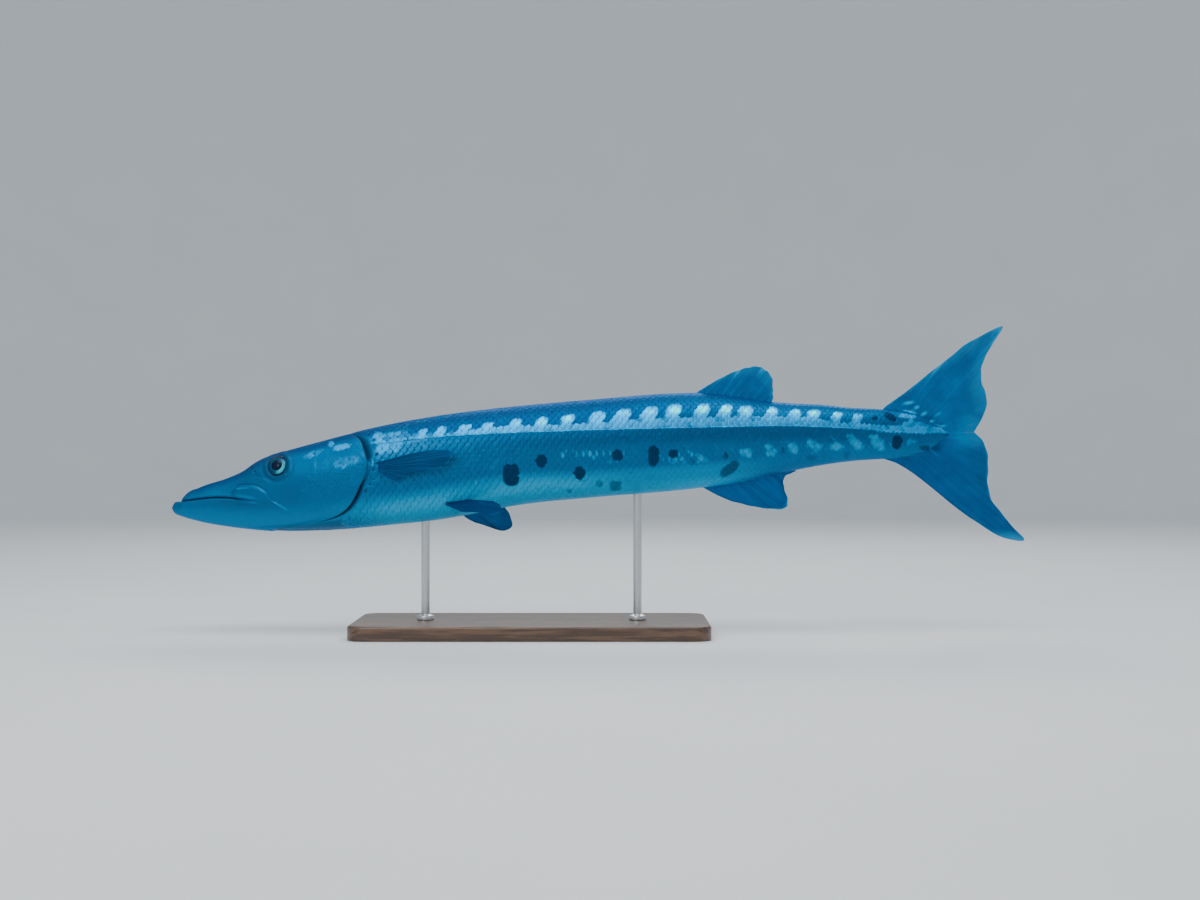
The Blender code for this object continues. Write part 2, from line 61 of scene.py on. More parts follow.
MM = 0.001
STAND_AT = 510.0  # from the jaw tip back to the middle of the stand
AXIS_HEIGHT = 284.0  # the tail root's middle above the floor
BODY_END = 1104.0
BACK = (
    (0, -104.2), (0.4, -103), (1, -101.9), (3, -99.6), (7, -97.2), (12.6, -95), (18.2, -87.6),
    (39, -76.8), (81, -62.6), (102, -53.2), (120, -41.0), (134, -34.2), (151, -28.8), (207, -13.2),
    (280, 5.9), (375, 23.9), (487, 37.4), (599, 47.5), (711, 56), (753, 56.7), (802, 51.6), (844, 45),
    (879, 42), (921, 40.2), (963, 36), (1005, 34), (1042, 31), (1066, 23), (1088, 12), (1104, 2.5),
)
BELLY = (
    (0, -108.4), (0.4, -109.7), (1, -110.9), (3, -113.5), (7, -116), (12.6, -118), (39, -125.4),
    (81, -132.8), (134, -137.6), (179, -138.4), (242, -135.6), (319, -128.4), (375, -122.4),
    (431, -112.9), (487, -102), (599, -90.2), (711, -81), (802, -69.6), (879, -53.2), (921, -45.2),
    (963, -39.4), (1005, -36.4), (1042, -35), (1066, -28), (1088, -16), (1104, -3.5),
)
HALF_WIDTH = (
    (0, 3.2), (0.4, 4.4), (1, 5.6), (3, 7.6), (7, 9.4), (12.6, 11), (39, 16), (81, 22), (120, 29.5),
    (151, 35.5), (207, 45), (280, 52), (375, 54.5), (487, 53.5), (599, 51), (711, 46.5), (802, 39.5),
    (879, 31.5), (963, 23.5), (1026, 15.5), (1058, 10), (1084, 5.5), (1104, 2.4),
)
# How far up the section it is widest, as a share of its depth, and how square each half is
WIDEST = ((0, 0.5), (81, 0.42), (151, 0.42), (280, 0.5), (700, 0.52), (1104, 0.5))
UPPER_POWER = ((0, 2), (81, 2.3), (140, 3), (207, 2.6), (375, 2.25), (1104, 2.1))
LOWER_POWER = ((0, 2), (81, 2.1), (280, 2.3), (700, 2.2), (1104, 2.1))
SWAY = ((0, 5), (150, 1), (350, -3), (600, -3), (850, 4), (1026, 13), (1215, 27))


def smooth(points, at):
    """A smooth curve through (place, value) pairs: a cubic between neighbours, whose slope at
    each pair comes from the pairs beside it. Past the ends it stays level."""
    places, values = np.array(points, float).T
    slopes = np.gradient(values, places)
    at = np.clip(np.asarray(at, float), places[0], places[-1])
    i = np.clip(np.searchsorted(places, at) - 1, 0, len(places) - 2)
    step = places[i + 1] - places[i]
    t = (at - places[i]) / step
    return (
        values[i] * (1 + 2 * t) * (1 - t) ** 2
        + slopes[i] * step * t * (1 - t) ** 2
        + values[i + 1] * t * t * (3 - 2 * t)
        + slopes[i + 1] * step * t * t * (t - 1)
    )


def ease(value, low, high):
    """0 below low, 1 above high, and 3t^2 - 2t^3 between them."""
    t = np.clip((value - low) / (high - low), 0, 1)
    return t * t * (3 - 2 * t)


def bump(distance, width):
    """A round hill, 1 at distance 0 and close to 0 past twice the width."""
    return np.exp(-((distance / width) ** 2))


def between(value, low, high, fall, end):
    """1 from high to fall, easing down to 0 at low and at end."""
    return ease(value, low, high) * (1 - ease(value, fall, end))


def section(length):
    """The body's section there: top, widest and bottom height, half width and both powers."""
    top, bottom = smooth(BACK, length), smooth(BELLY, length)
    middle = bottom + (top - bottom) * smooth(WIDEST, length)
    powers = smooth(UPPER_POWER, length), smooth(LOWER_POWER, length)
    return top, middle, bottom, smooth(HALF_WIDTH, length), *powers


def world(length, side, height):
    """Fish millimetres to metres from the stand's middle, with the swimming bend added."""
    x = np.asarray(length, float) - STAND_AT
    y = np.asarray(side, float) + smooth(SWAY, length)
    z = np.asarray(height, float) + AXIS_HEIGHT
    return np.stack(np.broadcast_arrays(x, y, z), -1) * MM


def across_section(length, turn, rise=0.0, squeeze=1.0):
    """How far out and how high the skin is: turn runs from 0 on the back to pi under the belly.
    The section is a superellipse in two halves, and rise lifts a point along its normal."""
    length, turn = np.broadcast_arrays(np.asarray(length, float), np.asarray(turn, float))
    top, middle, bottom, half_width, upper, lower = section(length)
    is_upper = turn < math.pi / 2
    power = np.where(is_upper, upper, lower)
    reach = np.where(is_upper, top - middle, middle - bottom)
    across = np.abs(np.sin(turn)) ** (2 / power)
    along = np.abs(np.cos(turn)) ** (2 / power)
    normal_y = across ** (power - 1) / half_width
    normal_z = along ** (power - 1) / reach
    size = np.hypot(normal_y, normal_z)
    out = squeeze * half_width * across + rise * normal_y / size
    up = squeeze * reach * along + rise * normal_z / size
    return out, middle + np.where(is_upper, 1.0, -1.0) * up


def turn_at(length, height):
    """The turn at which the skin has that height."""
    top, middle, bottom, _, upper, lower = section(length)
    up = np.clip((height - middle) / (top - middle), 0, 1) ** (upper / 2)
    down = np.clip((middle - height) / (middle - bottom), 0, 1) ** (lower / 2)
    return np.arccos(np.where(height > middle, up, -down))


# The girth from the back down one side to the belly, measured once on a fine table
TABLE_LENGTHS = np.linspace(0, BODY_END, 553)
TABLE_TURNS = np.linspace(0, math.pi, 361)
TABLE_SHARES = np.linspace(0, 1, 241)
out_table, height_table = across_section(TABLE_LENGTHS[:, None], TABLE_TURNS)
steps = np.hypot(np.diff(out_table, axis=1), np.diff(height_table, axis=1))
girths = np.concatenate([np.zeros((len(steps), 1)), np.cumsum(steps, 1)], 1)
half_girths = girths[:, -1]
share_table = girths / half_girths[:, None]
turn_table = np.array([np.interp(TABLE_SHARES, row, TABLE_TURNS) for row in share_table])


def half_girth(length):
    return np.interp(length, TABLE_LENGTHS, half_girths)


def look_up(table, length, share):
    """A table's value between its four nearest places, its columns read by a share from 0 to 1."""
    row = np.clip(length / BODY_END, 0, 1) * (table.shape[0] - 1)
    column = np.clip(share, 0, 1) * (table.shape[1] - 1)
    i = np.minimum(row.astype(int), table.shape[0] - 2)
    j = np.minimum(column.astype(int), table.shape[1] - 2)
    a, b = row - i, column - j
    near = table[i, j] * (1 - b) + table[i, j + 1] * b
    far = table[i + 1, j] * (1 - b) + table[i + 1, j + 1] * b
    return near * (1 - a) + far * a


def turn_at_girth(length, girth):
    """The turn reached after that many millimetres down the side."""
    length, girth = np.broadcast_arrays(np.asarray(length, float), np.asarray(girth, float))
    return look_up(turn_table, length, girth / half_girth(length))


def girth_at(length, turn):
    """The way down the side to that turn, in millimetres."""
    length, turn = np.broadcast_arrays(np.asarray(length, float), np.asarray(turn, float))
    return look_up(share_table, length, turn / math.pi) * half_girth(length)


# The line of the mouth and the fold behind the jaw as (length, height), and the plate over the
# mouth's corner as (length, upper height, lower height)
MOUTH_LINE = (
    (-6, -96), (12, -96), (21, -95.2), (47.8, -92.1), (60.6, -91), (81.7, -91), (101.5, -93),
    (131, -97.5),
)
JAW_FOLD = ((140, -93.5), (147, -96.5), (156, -101.5), (166, -107.5), (176, -114), (186, -121))
UPPER_JAW_PLATE = (
    (89, -83, -86), (93, -77.5, -89), (101.5, -73.6, -94), (112, -72.9, -97.5), (122.6, -73.6, -101),
    (135.2, -79.1, -102.8), (142, -85.2, -99.5), (144.5, -91, -94.5),
)
EYE_AT = (155.0, -45.7)  # length and height of its middle
EYE_RADIUS = 16.0
EYE_DEPTH = 10.0  # half the eyeball's thickness
EYE_PROUD = 4.0  # how far its rim stands out of the skin
NOSTRILS = ((116.6, -49.8, 2.6), (122, -54.6, 2.0))  # length, height and size of each
# The gill cover's free edge as (length, height), from the back down to the throat
GILL_EDGE = (
    (250, -2.8), (263, -5.3), (272.5, -10.9), (278.5, -22.1), (283, -34), (284.6, -43), (283, -52),
    (279.8, -61), (275.2, -72.5), (268, -87.5), (261, -98.5), (251, -108.5), (234, -117.5), (216, -123),
    (200, -126.3), (184, -128.5), (166, -131),
)
# The cheek plates' rear edge as (height, length)
CHEEK_EDGE = ((-124, 158), (-118, 168), (-105, 186), (-88, 198), (-70, 205), (-48, 209), (-28, 206))

gill_turns = np.array([turn_at(*point) for point in GILL_EDGE])
GILL_LINE = [*zip(gill_turns, [point[0] for point in GILL_EDGE]), (math.pi, 150)]
# How wide the opening behind the gill cover gapes, by the turn: a dark crescent above, closed at
# the shoulder, and a long dark slit below
GILL_GAP = [
    (gill_turns[i], gape)
    for i, gape in (
        (0, 0.3), (1, 0.8), (2, 1.05), (3, 1.15), (4, 0.9), (5, 0.5), (6, 0.4), (7, 0.5), (9, 0.9),
        (11, 1.2), (13, 1.3), (15, 1.1), (16, 0.9),
    )
] + [(math.pi, 0.5)]
# The opening's rows: along the body from the edge, off the skin, and how much painted shade darkens it
# inside. They run over the edge, back under the cover, and out again over the chamber's floor.
GILL_ROWS = np.array([
    (-2.0, 1.72, 0.1), (-1.0, 1.66, 0.35), (-0.3, 1.4, 0.55), (0.0, 1.0, 0.7), (-0.2, 0.5, 0.8),
    (-1.0, -0.2, 0.9), (-3.5, -1.0, 1), (-4.6, -2.4, 1), (-3.2, -3.7, 1), (0.2, -3.9, 1),
    (3.2, -3.0, 0.9), (5.6, -1.6, 0.6), (7.6, -0.6, 0.25), (9.6, 0, 0.05),
])
FLOOR_ROWS = 5  # how many of them lie on the floor
CHAMBER_END = GILL_ROWS[-1, 0]


def jaw_relief(length, height):
    """Rise of the skin over the jaws: a cut along the line of the mouth with a lip on each side,
    the raised plate over its corner, and the fold that runs down behind the jaw."""
    over = height - smooth(MOUTH_LINE, length)
    open_mouth = 1 - ease(length, 90, 122)
    lips = 1 - ease(length, 112, 137)
    rise = -2.3 * open_mouth * bump(over, 0.85) - 0.7 * lips * bump(over, 1.0)
    rise += lips * (1.0 * bump(over - 3.2, 2.0) + 1.25 * bump(over + 3.4, 2.3))
    high = smooth([p[:2] for p in UPPER_JAW_PLATE], length)
    low = smooth([(p[0], p[2]) for p in UPPER_JAW_PLATE], length)
    sharp_edge = np.minimum(high - height, (146 - length) * 1.2)
    soft_edge = np.minimum((height - low + 4) * 0.35, (length - 86) * 0.45)
    inside = np.minimum(sharp_edge, soft_edge)
    plate = ease(length, 84, 98)
    under_edge = bump(sharp_edge + 0.9, 0.8) * ease(soft_edge, 0, 1.6)
    rise += plate * (1.5 * ease(inside, -0.3, 2.2) - 0.7 * under_edge)
    rise += plate * 0.35 * bump(height - high + 5.5, 1.6) * ease(inside, 0, 3)
    behind = (height - smooth(JAW_FOLD, length)) * 0.86
    fold = between(length, 141, 149, 166, 182)
    rise += fold * (0.8 * bump(behind - 0.8, 1.3) - 0.6 * bump(behind + 1.6, 1.2))
    crease = height + 118.0 - 0.02 * length
    rise -= 0.35 * bump(crease, 1.6) * between(length, 30, 60, 150, 190)
    return rise


def nostril_ways(length, height):
    """How far a place is from each nostril's middle, in sizes of that nostril, which is oval."""
    return [
        np.hypot((length - place) / 1.25, height - level) / size for place, level, size in NOSTRILS
    ]


def face_relief(length, height, out):
    """Rise of the skin round the eye and over the skull: a socket that dips under the eyeball,
    a rim and a brow, the nostrils' pits, the cheek's rear edge and low ridges on the skull."""
    along, up = length - EYE_AT[0], height - EYE_AT[1]
    away = np.hypot(along, up)
    rise = -0.15 * (13.5 - np.minimum(away, 13.5)) ** 1.7 - 0.45 * bump(away - 14.4, 1.5)
    brow = ease(up, -6, 12)
    rise += (0.3 + 0.6 * brow) * bump(away - 18.2, 2.5)
    rise -= 0.4 * bump(away - 22.5, 2.5) * (1 - brow)
    for way in nostril_ways(length, height):
        rise += -1.9 * bump(way, 0.72) + 0.45 * bump(way - 1.35, 0.42)
    groove = height - smooth(((96, -66), (118, -60), (140, -63), (156, -67)), length)
    rise -= 0.5 * bump(groove, 2.2) * between(length, 96, 108, 140, 158)
    past = length - smooth(CHEEK_EDGE, height)
    cheek = between(height, -124, -116, -40, -26)
    rise += cheek * 0.4 * np.where(past < 0, np.exp(np.minimum(past, 0) / 9), 1 - ease(past, 0, 4))
    skull = between(length, 70, 120, 225, 262) * (1 - ease(out, 15, 21))
    rise += skull * 0.3 * np.cos(out * 0.95)
    return rise


def gill_held(turn, start, end):
    """How far the cover's edge stands free of the body: it lies almost shut at the shoulder."""
    shut = np.interp(turn, gill_turns[3:9], (1, 0.9, 0.6, 0.4, 0.55, 1))
    top = gill_turns[0]
    return shut * between(turn, top - start, top + end, 0.91 * math.pi, 0.98 * math.pi)


def gill_floor(length, turn):
    """How deep the chamber's floor lies behind the gill cover's edge: it comes up to the skin
    over a way set by how wide the opening gapes."""
    gape = smooth(GILL_GAP, turn)
    way = (length - smooth(GILL_LINE, turn)) / gape
    depth = np.interp(way, *GILL_ROWS[-FLOOR_ROWS:, :2].T)
    return depth * (0.45 + 0.55 * gape) * gill_held(turn, 0.03, 0.1)


def gill_shadow(length, turn):
    """How dark the skin is painted behind the cover's edge, in the crescent over the shoulder and
    along the wide opening under it."""
    behind = length - smooth(GILL_LINE, turn)
    lower = between(turn, gill_turns[7], gill_turns[9], 0.93 * math.pi, 0.99 * math.pi)
    wide = np.interp(turn, gill_turns[[7, 10, 13, 16]], (4, 7, 13, 24))
    front = ease(behind, -1, 14 * ease(turn, 0.8 * math.pi, 0.92 * math.pi))
    low = 0.65 * lower * front * (1 - ease(behind, 0.6 * wide, 1.25 * wide))
    upper = between(turn, *gill_turns[[0, 2, 4, 6]])
    return np.maximum(low, 0.85 * upper * between(behind, -1, 0, 4, 7.5))


def gill_relief(length, turn):
    """Rise of the gill cover towards its free edge, with the fan of rays in the membrane under
    it. It is worked out by the way left to the edge."""
    left = smooth(GILL_LINE, turn) - length
    rise = gill_held(turn, 0.02, 0.12) * 1.7 * ease(-left, -48, 0)
    below = between(turn / math.pi, 0.64, 0.74, 0.88, 0.96)
    rise += below * 0.42 * np.cos(left * 1.02) * between(left, 1, 5, 30, 42)
    return rise * (left > -1)


def skin_relief(length, turn):
    """All the relief of the head's skin, in millimetres off its smooth form."""
    out, height = across_section(length, turn)
    on_head = 1 - ease(length, 262, 285)
    face = jaw_relief(length, height) + face_relief(length, height, out)
    return on_head * face + gill_relief(length, turn)


def skin_columns(base):
    """The turns of the skin's columns for rows at those lengths. They crowd towards the line of
    the mouth, and behind the head they are spread evenly over the girth."""
    near = np.array([0.35, 0.8, 1.3, 1.9, 2.6, 3.4, 4.3, 5.4])
    girth = half_girth(base)[:, None]
    line_height = smooth(MOUTH_LINE + ((190, -95), (248, -66)), base)
    blend = ease(base, 8, 34)
    line = girth_at(base, 0.42 * math.pi * (1 - blend) + turn_at(base, line_height) * blend)[:, None]
    tight = np.minimum(1, np.minimum(line, girth - line) / 14)
    above = line - near[::-1] * tight
    below = line + near * tight
    upper = above[:, :1] * np.linspace(0, 1, UPPER_COLUMNS, endpoint=False)
    lower = below[:, -1:] + (girth - below[:, -1:]) * np.linspace(0, 1, LOWER_COLUMNS + 1)[1:]
    places = np.concatenate([upper, above, line, below, lower], 1)
    even = girth * np.linspace(0, 1, places.shape[1])
    blend = ease(base, 150, 245)[:, None]
    return turn_at_girth(base[:, None], places * (1 - blend) + even * blend)


UPPER_COLUMNS = 52
LOWER_COLUMNS = 56
GILL_BASE = 250.0  # the rows' own length where they meet the gill cover's edge
HEAD_ROWS = np.concatenate([
    np.linspace(0, 24, 44, endpoint=False), np.linspace(24, 110, 62, endpoint=False),
    np.linspace(110, 180, 74, endpoint=False), np.linspace(180, GILL_BASE - 3.2, 48),
])
TRUNK_ROWS = np.linspace(GILL_BASE + 13, BODY_END, 120)
CAP = np.array([0.3, 0.6, 0.82, 0.95])  # the rounded ends of jaw and tail, as shares of the section
SNOUT_CAP = 0.9  # how far each rounded end reaches past the last whole section
TAIL_CAP = 1.6

base = np.concatenate([
    np.zeros(len(CAP)), HEAD_ROWS, np.full(len(GILL_ROWS), GILL_BASE), TRUNK_ROWS,
    np.full(len(CAP), BODY_END),
])
gill_at = len(CAP) + len(HEAD_ROWS)
behind_gill = gill_at + len(GILL_ROWS)
turns = skin_columns(base)
gill_edge = smooth(GILL_LINE, turns)
to_edge = ease(base[:, None], np.where(gill_edge < GILL_BASE, 50, 110), GILL_BASE)
bend = np.where(base[:, None] < GILL_BASE, to_edge, 1 - ease(base, GILL_BASE, 440)[:, None])
lengths = base[:, None] + (gill_edge - GILL_BASE) * bend
held = gill_held(turns, 0.03, 0.1) * ease(gill_edge, 160, 205)
rises = skin_relief(lengths, turns)
shade = np.zeros_like(turns)
edge_rows = slice(gill_at, behind_gill)
gape = smooth(GILL_GAP, turns[edge_rows])
along, off, dark = GILL_ROWS.T[:, :, None]
plain = np.linspace(*GILL_ROWS[[0, -1], 0], len(GILL_ROWS))[:, None]
along = np.where(along > 0, along * gape, along)
fold = held[edge_rows]
lengths[edge_rows] = gill_edge[edge_rows] + along * fold + plain * (1 - fold)
depth = np.where(off < 0, off * (0.45 + 0.55 * gape), off)
rises[edge_rows] = depth * fold
# Painted shade inside the gill opening
shade[edge_rows] = dark * fold**1.5
squeeze = np.ones(len(base))[:, None]
squeeze[: len(CAP), 0] = CAP
squeeze[-len(CAP):, 0] = CAP[::-1]
cap_out = np.sqrt(1 - squeeze**2)
lengths = lengths + np.where(np.arange(len(base))[:, None] < gill_at, -SNOUT_CAP, TAIL_CAP) * cap_out


def both_sides(grid):
    """The left side's columns from back to belly, then the right side's up again."""
    return np.concatenate([grid, grid[:, -2:0:-1]], 1)


out, height = across_section(np.clip(lengths, 0, BODY_END), turns, rises, squeeze)
side = np.repeat([-1.0, 1.0], [turns.shape[1], turns.shape[1] - 2])
skin_length, skin_height = both_sides(lengths), both_sides(height)
points = world(skin_length, side * both_sides(out), skin_height)


def ring_faces(rows, columns):
    """Quads between closed rings, and a fan of triangles to a pole at each end."""
    number = np.arange(rows * columns).reshape(rows, columns)
    after = np.roll(number, -1, 1)
    quads = np.stack([number[:-1], after[:-1], after[1:], number[1:]], -1).reshape(-1, 4)
    first = np.full(columns, rows * columns)
    fans = [
        np.stack([first, after[0], number[0]], 1),
        np.stack([first + 1, number[-1], after[-1]], 1),
    ]
    return [quads, np.concatenate(fans)]


def new_piece(name, points, faces, material, **attributes):
    """A mesh object from arrays: points in metres, faces as arrays of three, four or more
    corners a row, and in every attribute a number for each point or one for all."""
    mesh = bpy.data.meshes.new(name)
    corners = np.concatenate([f.ravel() for f in faces]).astype(np.int32)
    sizes = np.concatenate([np.full(len(f), f.shape[1]) for f in faces])
    mesh.vertices.add(len(points))
    mesh.vertices.foreach_set("co", np.asarray(points, np.float32).ravel())
    mesh.loops.add(len(corners))
    mesh.loops.foreach_set("vertex_index", corners)
    mesh.polygons.add(len(sizes))
    mesh.polygons.foreach_set("loop_start", (np.cumsum(sizes) - sizes).astype(np.int32))
    mesh.update(calc_edges=True)
    mesh.shade_smooth()
    for word, values in attributes.items():
        layer = mesh.attributes.new(word, "FLOAT", "POINT")
        values = np.broadcast_to(np.ravel(values), len(points))
        layer.data.foreach_set("value", values.astype(np.float32))
    obj = bpy.data.objects.new(name, mesh)
    bpy.context.scene.collection.objects.link(obj)
    mesh.materials.append(material)
    return obj


# The markings, worked out for any place on the skin, so that the skin and the scales on it carry
# the same ones: a steel back, a silver band over the lateral line with flames rising from it, a
# dark band under it, a pale belly and dark blotches, and painted glints and painted shade

LATERAL_LINE = (
    (250, -21), (284.7, -16.9), (386.1, -5.7), (450, -1.6), (523.6, 1.2), (607, 4), (745.9, 7.5),
    (884.8, 9.5), (968.2, 6.2), (1030.7, 2.2), (1104, 0),
)
BELLY_LINE = (
    (0, -111), (60, -113), (150, -114), (200, -109), (250, -101), (320, -94), (400, -80), (480, -66),
    (600, -60), (700, -54), (850, -40), (960, -25), (1040, -24), (1104, -6),
)
BACK_LINE = ((0, -92), (40, -84), (90, -68), (150, -36), (200, -27), (250, -12), (285, -4), (340, 9))
# How far the silver band reaches over the lateral line, by the length
BAND_TOP = (
    (300, 4), (400, 4), (440, 8), (480, 10), (600, 10.5), (680, 14), (800, 14.5), (900, 13), (945, 8),
    (1060, 9),
)
# Length and height of each flame's heart, and how bright the heart is
FLAMES = (
    (360, 1, 0), (386.1, 4, 0.1), (418.1, 6.5, 0.1), (451, 10.5, 0.25), (489, 14, 0.4),
    (524.5, 16.1, 0.55), (560.5, 19, 0.55), (602.5, 23, 0.2), (637.5, 26.5, 0.4), (674.5, 29.5, 0.6),
    (709.5, 31.5, 0.9), (749, 33, 1), (782, 33.2, 1.1), (810, 31, 0.6), (847.5, 33.2, 1.05),
    (881, 31.5, 0.8), (905.5, 28.5, 0.85), (940.4, 26, 0.7), (969.6, 22.5, 0.3),
)
# A flame's front and rear edge from its foot up to its tip, as shares of its length from its heart
FLAME_FRONT = ((0, -1.05), (0.3, -0.8), (0.42, -0.62), (0.55, -0.5), (0.75, -0.38), (0.9, -0.2), (1, 0.0))
FLAME_REAR = ((0, 0.2), (0.3, 0.24), (0.5, 0.36), (0.65, 0.48), (0.85, 0.52), (1, 0.4))
flame_wobble = np.random.default_rng(8).normal(0, 1, (3, len(FLAMES)))
# The left side's dark blotches and the right side's, as length, height, half the length, half the
# height, lean in degrees, and how dark
BLOTCHES = {
    -1: (
        (483.4, -58.5, 11.1, 15.3, 0, 1), (525, -39.1, 7.6, 8.6, 0, 1), (563.9, -81.5, 4.6, 3.6, 0, 0.5),
        (578.5, -55.8, 8, 8.6, 0, 0.95), (605.6, -71, 6.3, 6, 0, 0.5), (628.5, -73.8, 9, 8, 0, 0.55),
        (630.6, -30.7, 8.3, 8.3, 30, 0.75), (681.3, -32.1, 8.4, 14.4, 0, 0.85),
        (708.4, -29.4, 7.2, 6.3, 0, 0.85), (735.5, -40.5, 4.6, 4.6, 0, 0.5),
        (782, -30.7, 3.6, 5.6, 0, 0.6), (787.6, -50.2, 16.5, 7.6, 40, 0.62),
        (864, -24.5, 3.5, 6, 0, 0.5), (904.3, -34.9, 8, 4.2, 0, 0.45), (955.7, -30.7, 4.6, 7.5, 0, 0.45),
        (1027.9, -12.7, 7.4, 9.9, -15, 1), (1018.2, 23.4, 9.6, 5, -28, 1), (996, 21.3, 5, 2.9, 0, 0.9),
        (1069.6, -21, 9.7, 4.2, 0, 0.6),
    ),
    1: (
        (462, -49, 8.6, 11, 0, 0.95), (509, -66, 9.4, 9, 0, 1), (541, -43, 6.2, 7, 20, 0.8),
        (592, -61, 10.2, 12.5, 0, 1), (611, -34, 5, 5.4, 0, 0.6), (648, -52, 7.8, 8.8, 0, 0.9),
        (662, -74, 5.2, 4.6, 0, 0.5), (699, -44, 9.2, 10.4, -20, 0.9), (744, -33, 5.4, 7.2, 0, 0.7),
        (766, -58, 12, 6.2, 30, 0.85), (826, -36, 6.6, 5, 0, 0.55), (889, -28, 4.4, 6.4, 0, 0.5),
        (938, -22, 7, 5, 0, 0.55), (1006, -16, 7.4, 8.4, 0, 0.95), (1030, 19, 8.4, 4.6, -20, 0.9),
    ),
}
# Painted glints: where single scales are painted with a pale stroke along their rear edge, in the same
# order of numbers
GLINTS = (
    (345, 13, 46, 6, 12, 0.55), (425, -66, 46, 7, -8, 0.6), (505, -59, 30, 6, -6, 0.55),
    (440, -42, 34, 7, -4, 0.35), (585, -30, 52, 8, 0, 0.9), (655, -40, 40, 6, -4, 0.7),
    (720, -34, 46, 10, 0, 0.8), (800, -32, 50, 14, 6, 0.35), (470, -24, 60, 12, 0, 0.25),
    (900, -20, 70, 12, 4, 0.4), (985, -12, 50, 14, 0, 0.5),
)
# The pale strokes under the flames, and the silver patches behind the head and on the tail
CHEVRONS = (
    (643, -34, 7, 5, 0, 0.5), (716, -40.5, 14, 6, 0, 0.42), (748, -35.6, 12, 6, -20, 0.52),
    (778, -37, 5, 5, 0, 0.3), (811, -28, 8, 7, 0, 0.62), (804, -35, 6, 6, 0, 0.4),
    (845, -25, 12, 7.5, -45, 0.56), (878, -21.5, 8, 8.5, 20, 0.64), (906, -16, 16, 6.5, -48, 0.56),
    (912, -20, 9, 6, 0, 0.6), (940, -19, 11, 6.5, -10, 0.56), (967, -13, 15, 6.5, -50, 0.6),
    (998, -12.5, 16, 7.5, -48, 0.64), (931, -5, 9, 2.5, 0, 0.35), (988, -4, 7, 3, 0, 0.4),
    (870, -4, 8, 2.5, 0, 0.3),
)
SILVER_PATCHES = (
    (246, -19.5, 14, 4.2, 10, 0.6), (230.5, -15.5, 5, 4.5, -20, 0.5), (206, -29, 17, 5.5, 28, 0.3),
    (255, -41, 21, 9, 12, 0.28), (297, -6, 9, 8, -35, 0.44), (304, -19, 8, 11, -30, 0.42),
    (320, -2, 16, 4, 8, 0.4), (290, -40, 7, 6, -40, 0.42), (318, -19, 13, 10, 10, 0.38),
    (340, -9, 36, 8, 8, 0.32), (1044, 24, 15, 4, -6, 0.5), (1056, 8, 26, 9, -5, 0.42),
    (1054, 3, 22, 3.4, 0, 0.55), (1022, 5, 24, 5, 0, 0.55), (1043, 14, 10, 4, 20, 0.5),
    (1050, -12, 9, 8, 0, 0.26),
)
# Pale streaks on the jaw's plate, on the lip and behind the corner of the mouth, and two painted glints
# on the cheek
FACE_STREAKS = (
    (105, -77.5, 12, 1.7, 4, 0.6), (129, -78.5, 13, 1.8, -24, 0.36), (161, -101.8, 15, 2.3, -32, 0.55),
    (60, -86.5, 42, 1.8, 2, 0.3), (168, -58, 2.2, 1.6, 0, 0.7), (181, -49, 1.8, 1.5, 0, 0.6),
)
# Painted shade in front of the eye, on the lower jaw and at the gill cover's upper corner
FACE_SHADOWS = (
    (136, -55, 15, 13, 0, 0.3), (108, -98.5, 46, 5.5, -3, 0.3), (266, -13, 9, 9, -40, 0.4),
    (190, -80, 34, 18, 20, 0.12),
)


def spot(length, height, mark, sharp):
    """1 inside a round-cornered mark and 0 outside, with an edge sharp millimetres wide."""
    place, level, half_length, half_height, lean = mark[:5]
    turn = math.radians(lean)
    along = (length - place) * math.cos(turn) + (height - level) * math.sin(turn)
    up = (height - level) * math.cos(turn) - (length - place) * math.sin(turn)
    way = ((np.abs(along) / half_length) ** 2.6 + (np.abs(up) / half_height) ** 2.6) ** (1 / 2.6)
    edge = sharp / min(half_length, half_height)
    return 1 - ease(way, 1 - edge / 2, 1 + edge / 2)


def strongest(length, height, marks, sharp):
    """The strongest of those marks at each place, where its strength is its last number."""
    return np.max([mark[5] * spot(length, height, mark, sharp) for mark in marks], 0)


def flames(length, over):
    """The silver flames: each is a saw's tooth on the band, with a long slope in front, a steep
    rear edge that leans back at the top, and a bright heart."""
    silver = np.zeros_like(over)
    for (place, level, bright), (wide, tall, lean) in zip(FLAMES, flame_wobble.T):
        line = smooth(LATERAL_LINE, place)
        heart = level - line
        top = min((1.27 * heart + 3.0) * (1 + 0.02 * tall), smooth(BACK, place) - line - 7)
        t = np.clip(over / top, 0, 1.3)
        size = 26 * np.interp(place, (380, 560, 700, 850, 960), (0.65, 0.85, 0.95, 0.84, 0.62))
        front = place + size * (1 + 0.1 * wide) * np.interp(t, *np.transpose(FLAME_FRONT))
        rear = place + size * (np.interp(t, *np.transpose(FLAME_REAR)) + 0.06 * lean * ease(t, 0.3, 0.8))
        inside = ease(length - front, -2.2, 2.2) * (1 - ease(length - rear, -1.6, 1.6))
        inside = inside * (1 - ease(t, 0.82, 1.1)) * ease(over, -0.8, 0.4)
        away = np.hypot((length - place - 1) / 7, (over - heart) / 5)
        head = ease((length - place) / size, -0.62, -0.1)
        silver = np.maximum(silver, inside * (0.44 + 0.2 * head + 0.62 * bright * bump(away, 1.0)))
    return silver


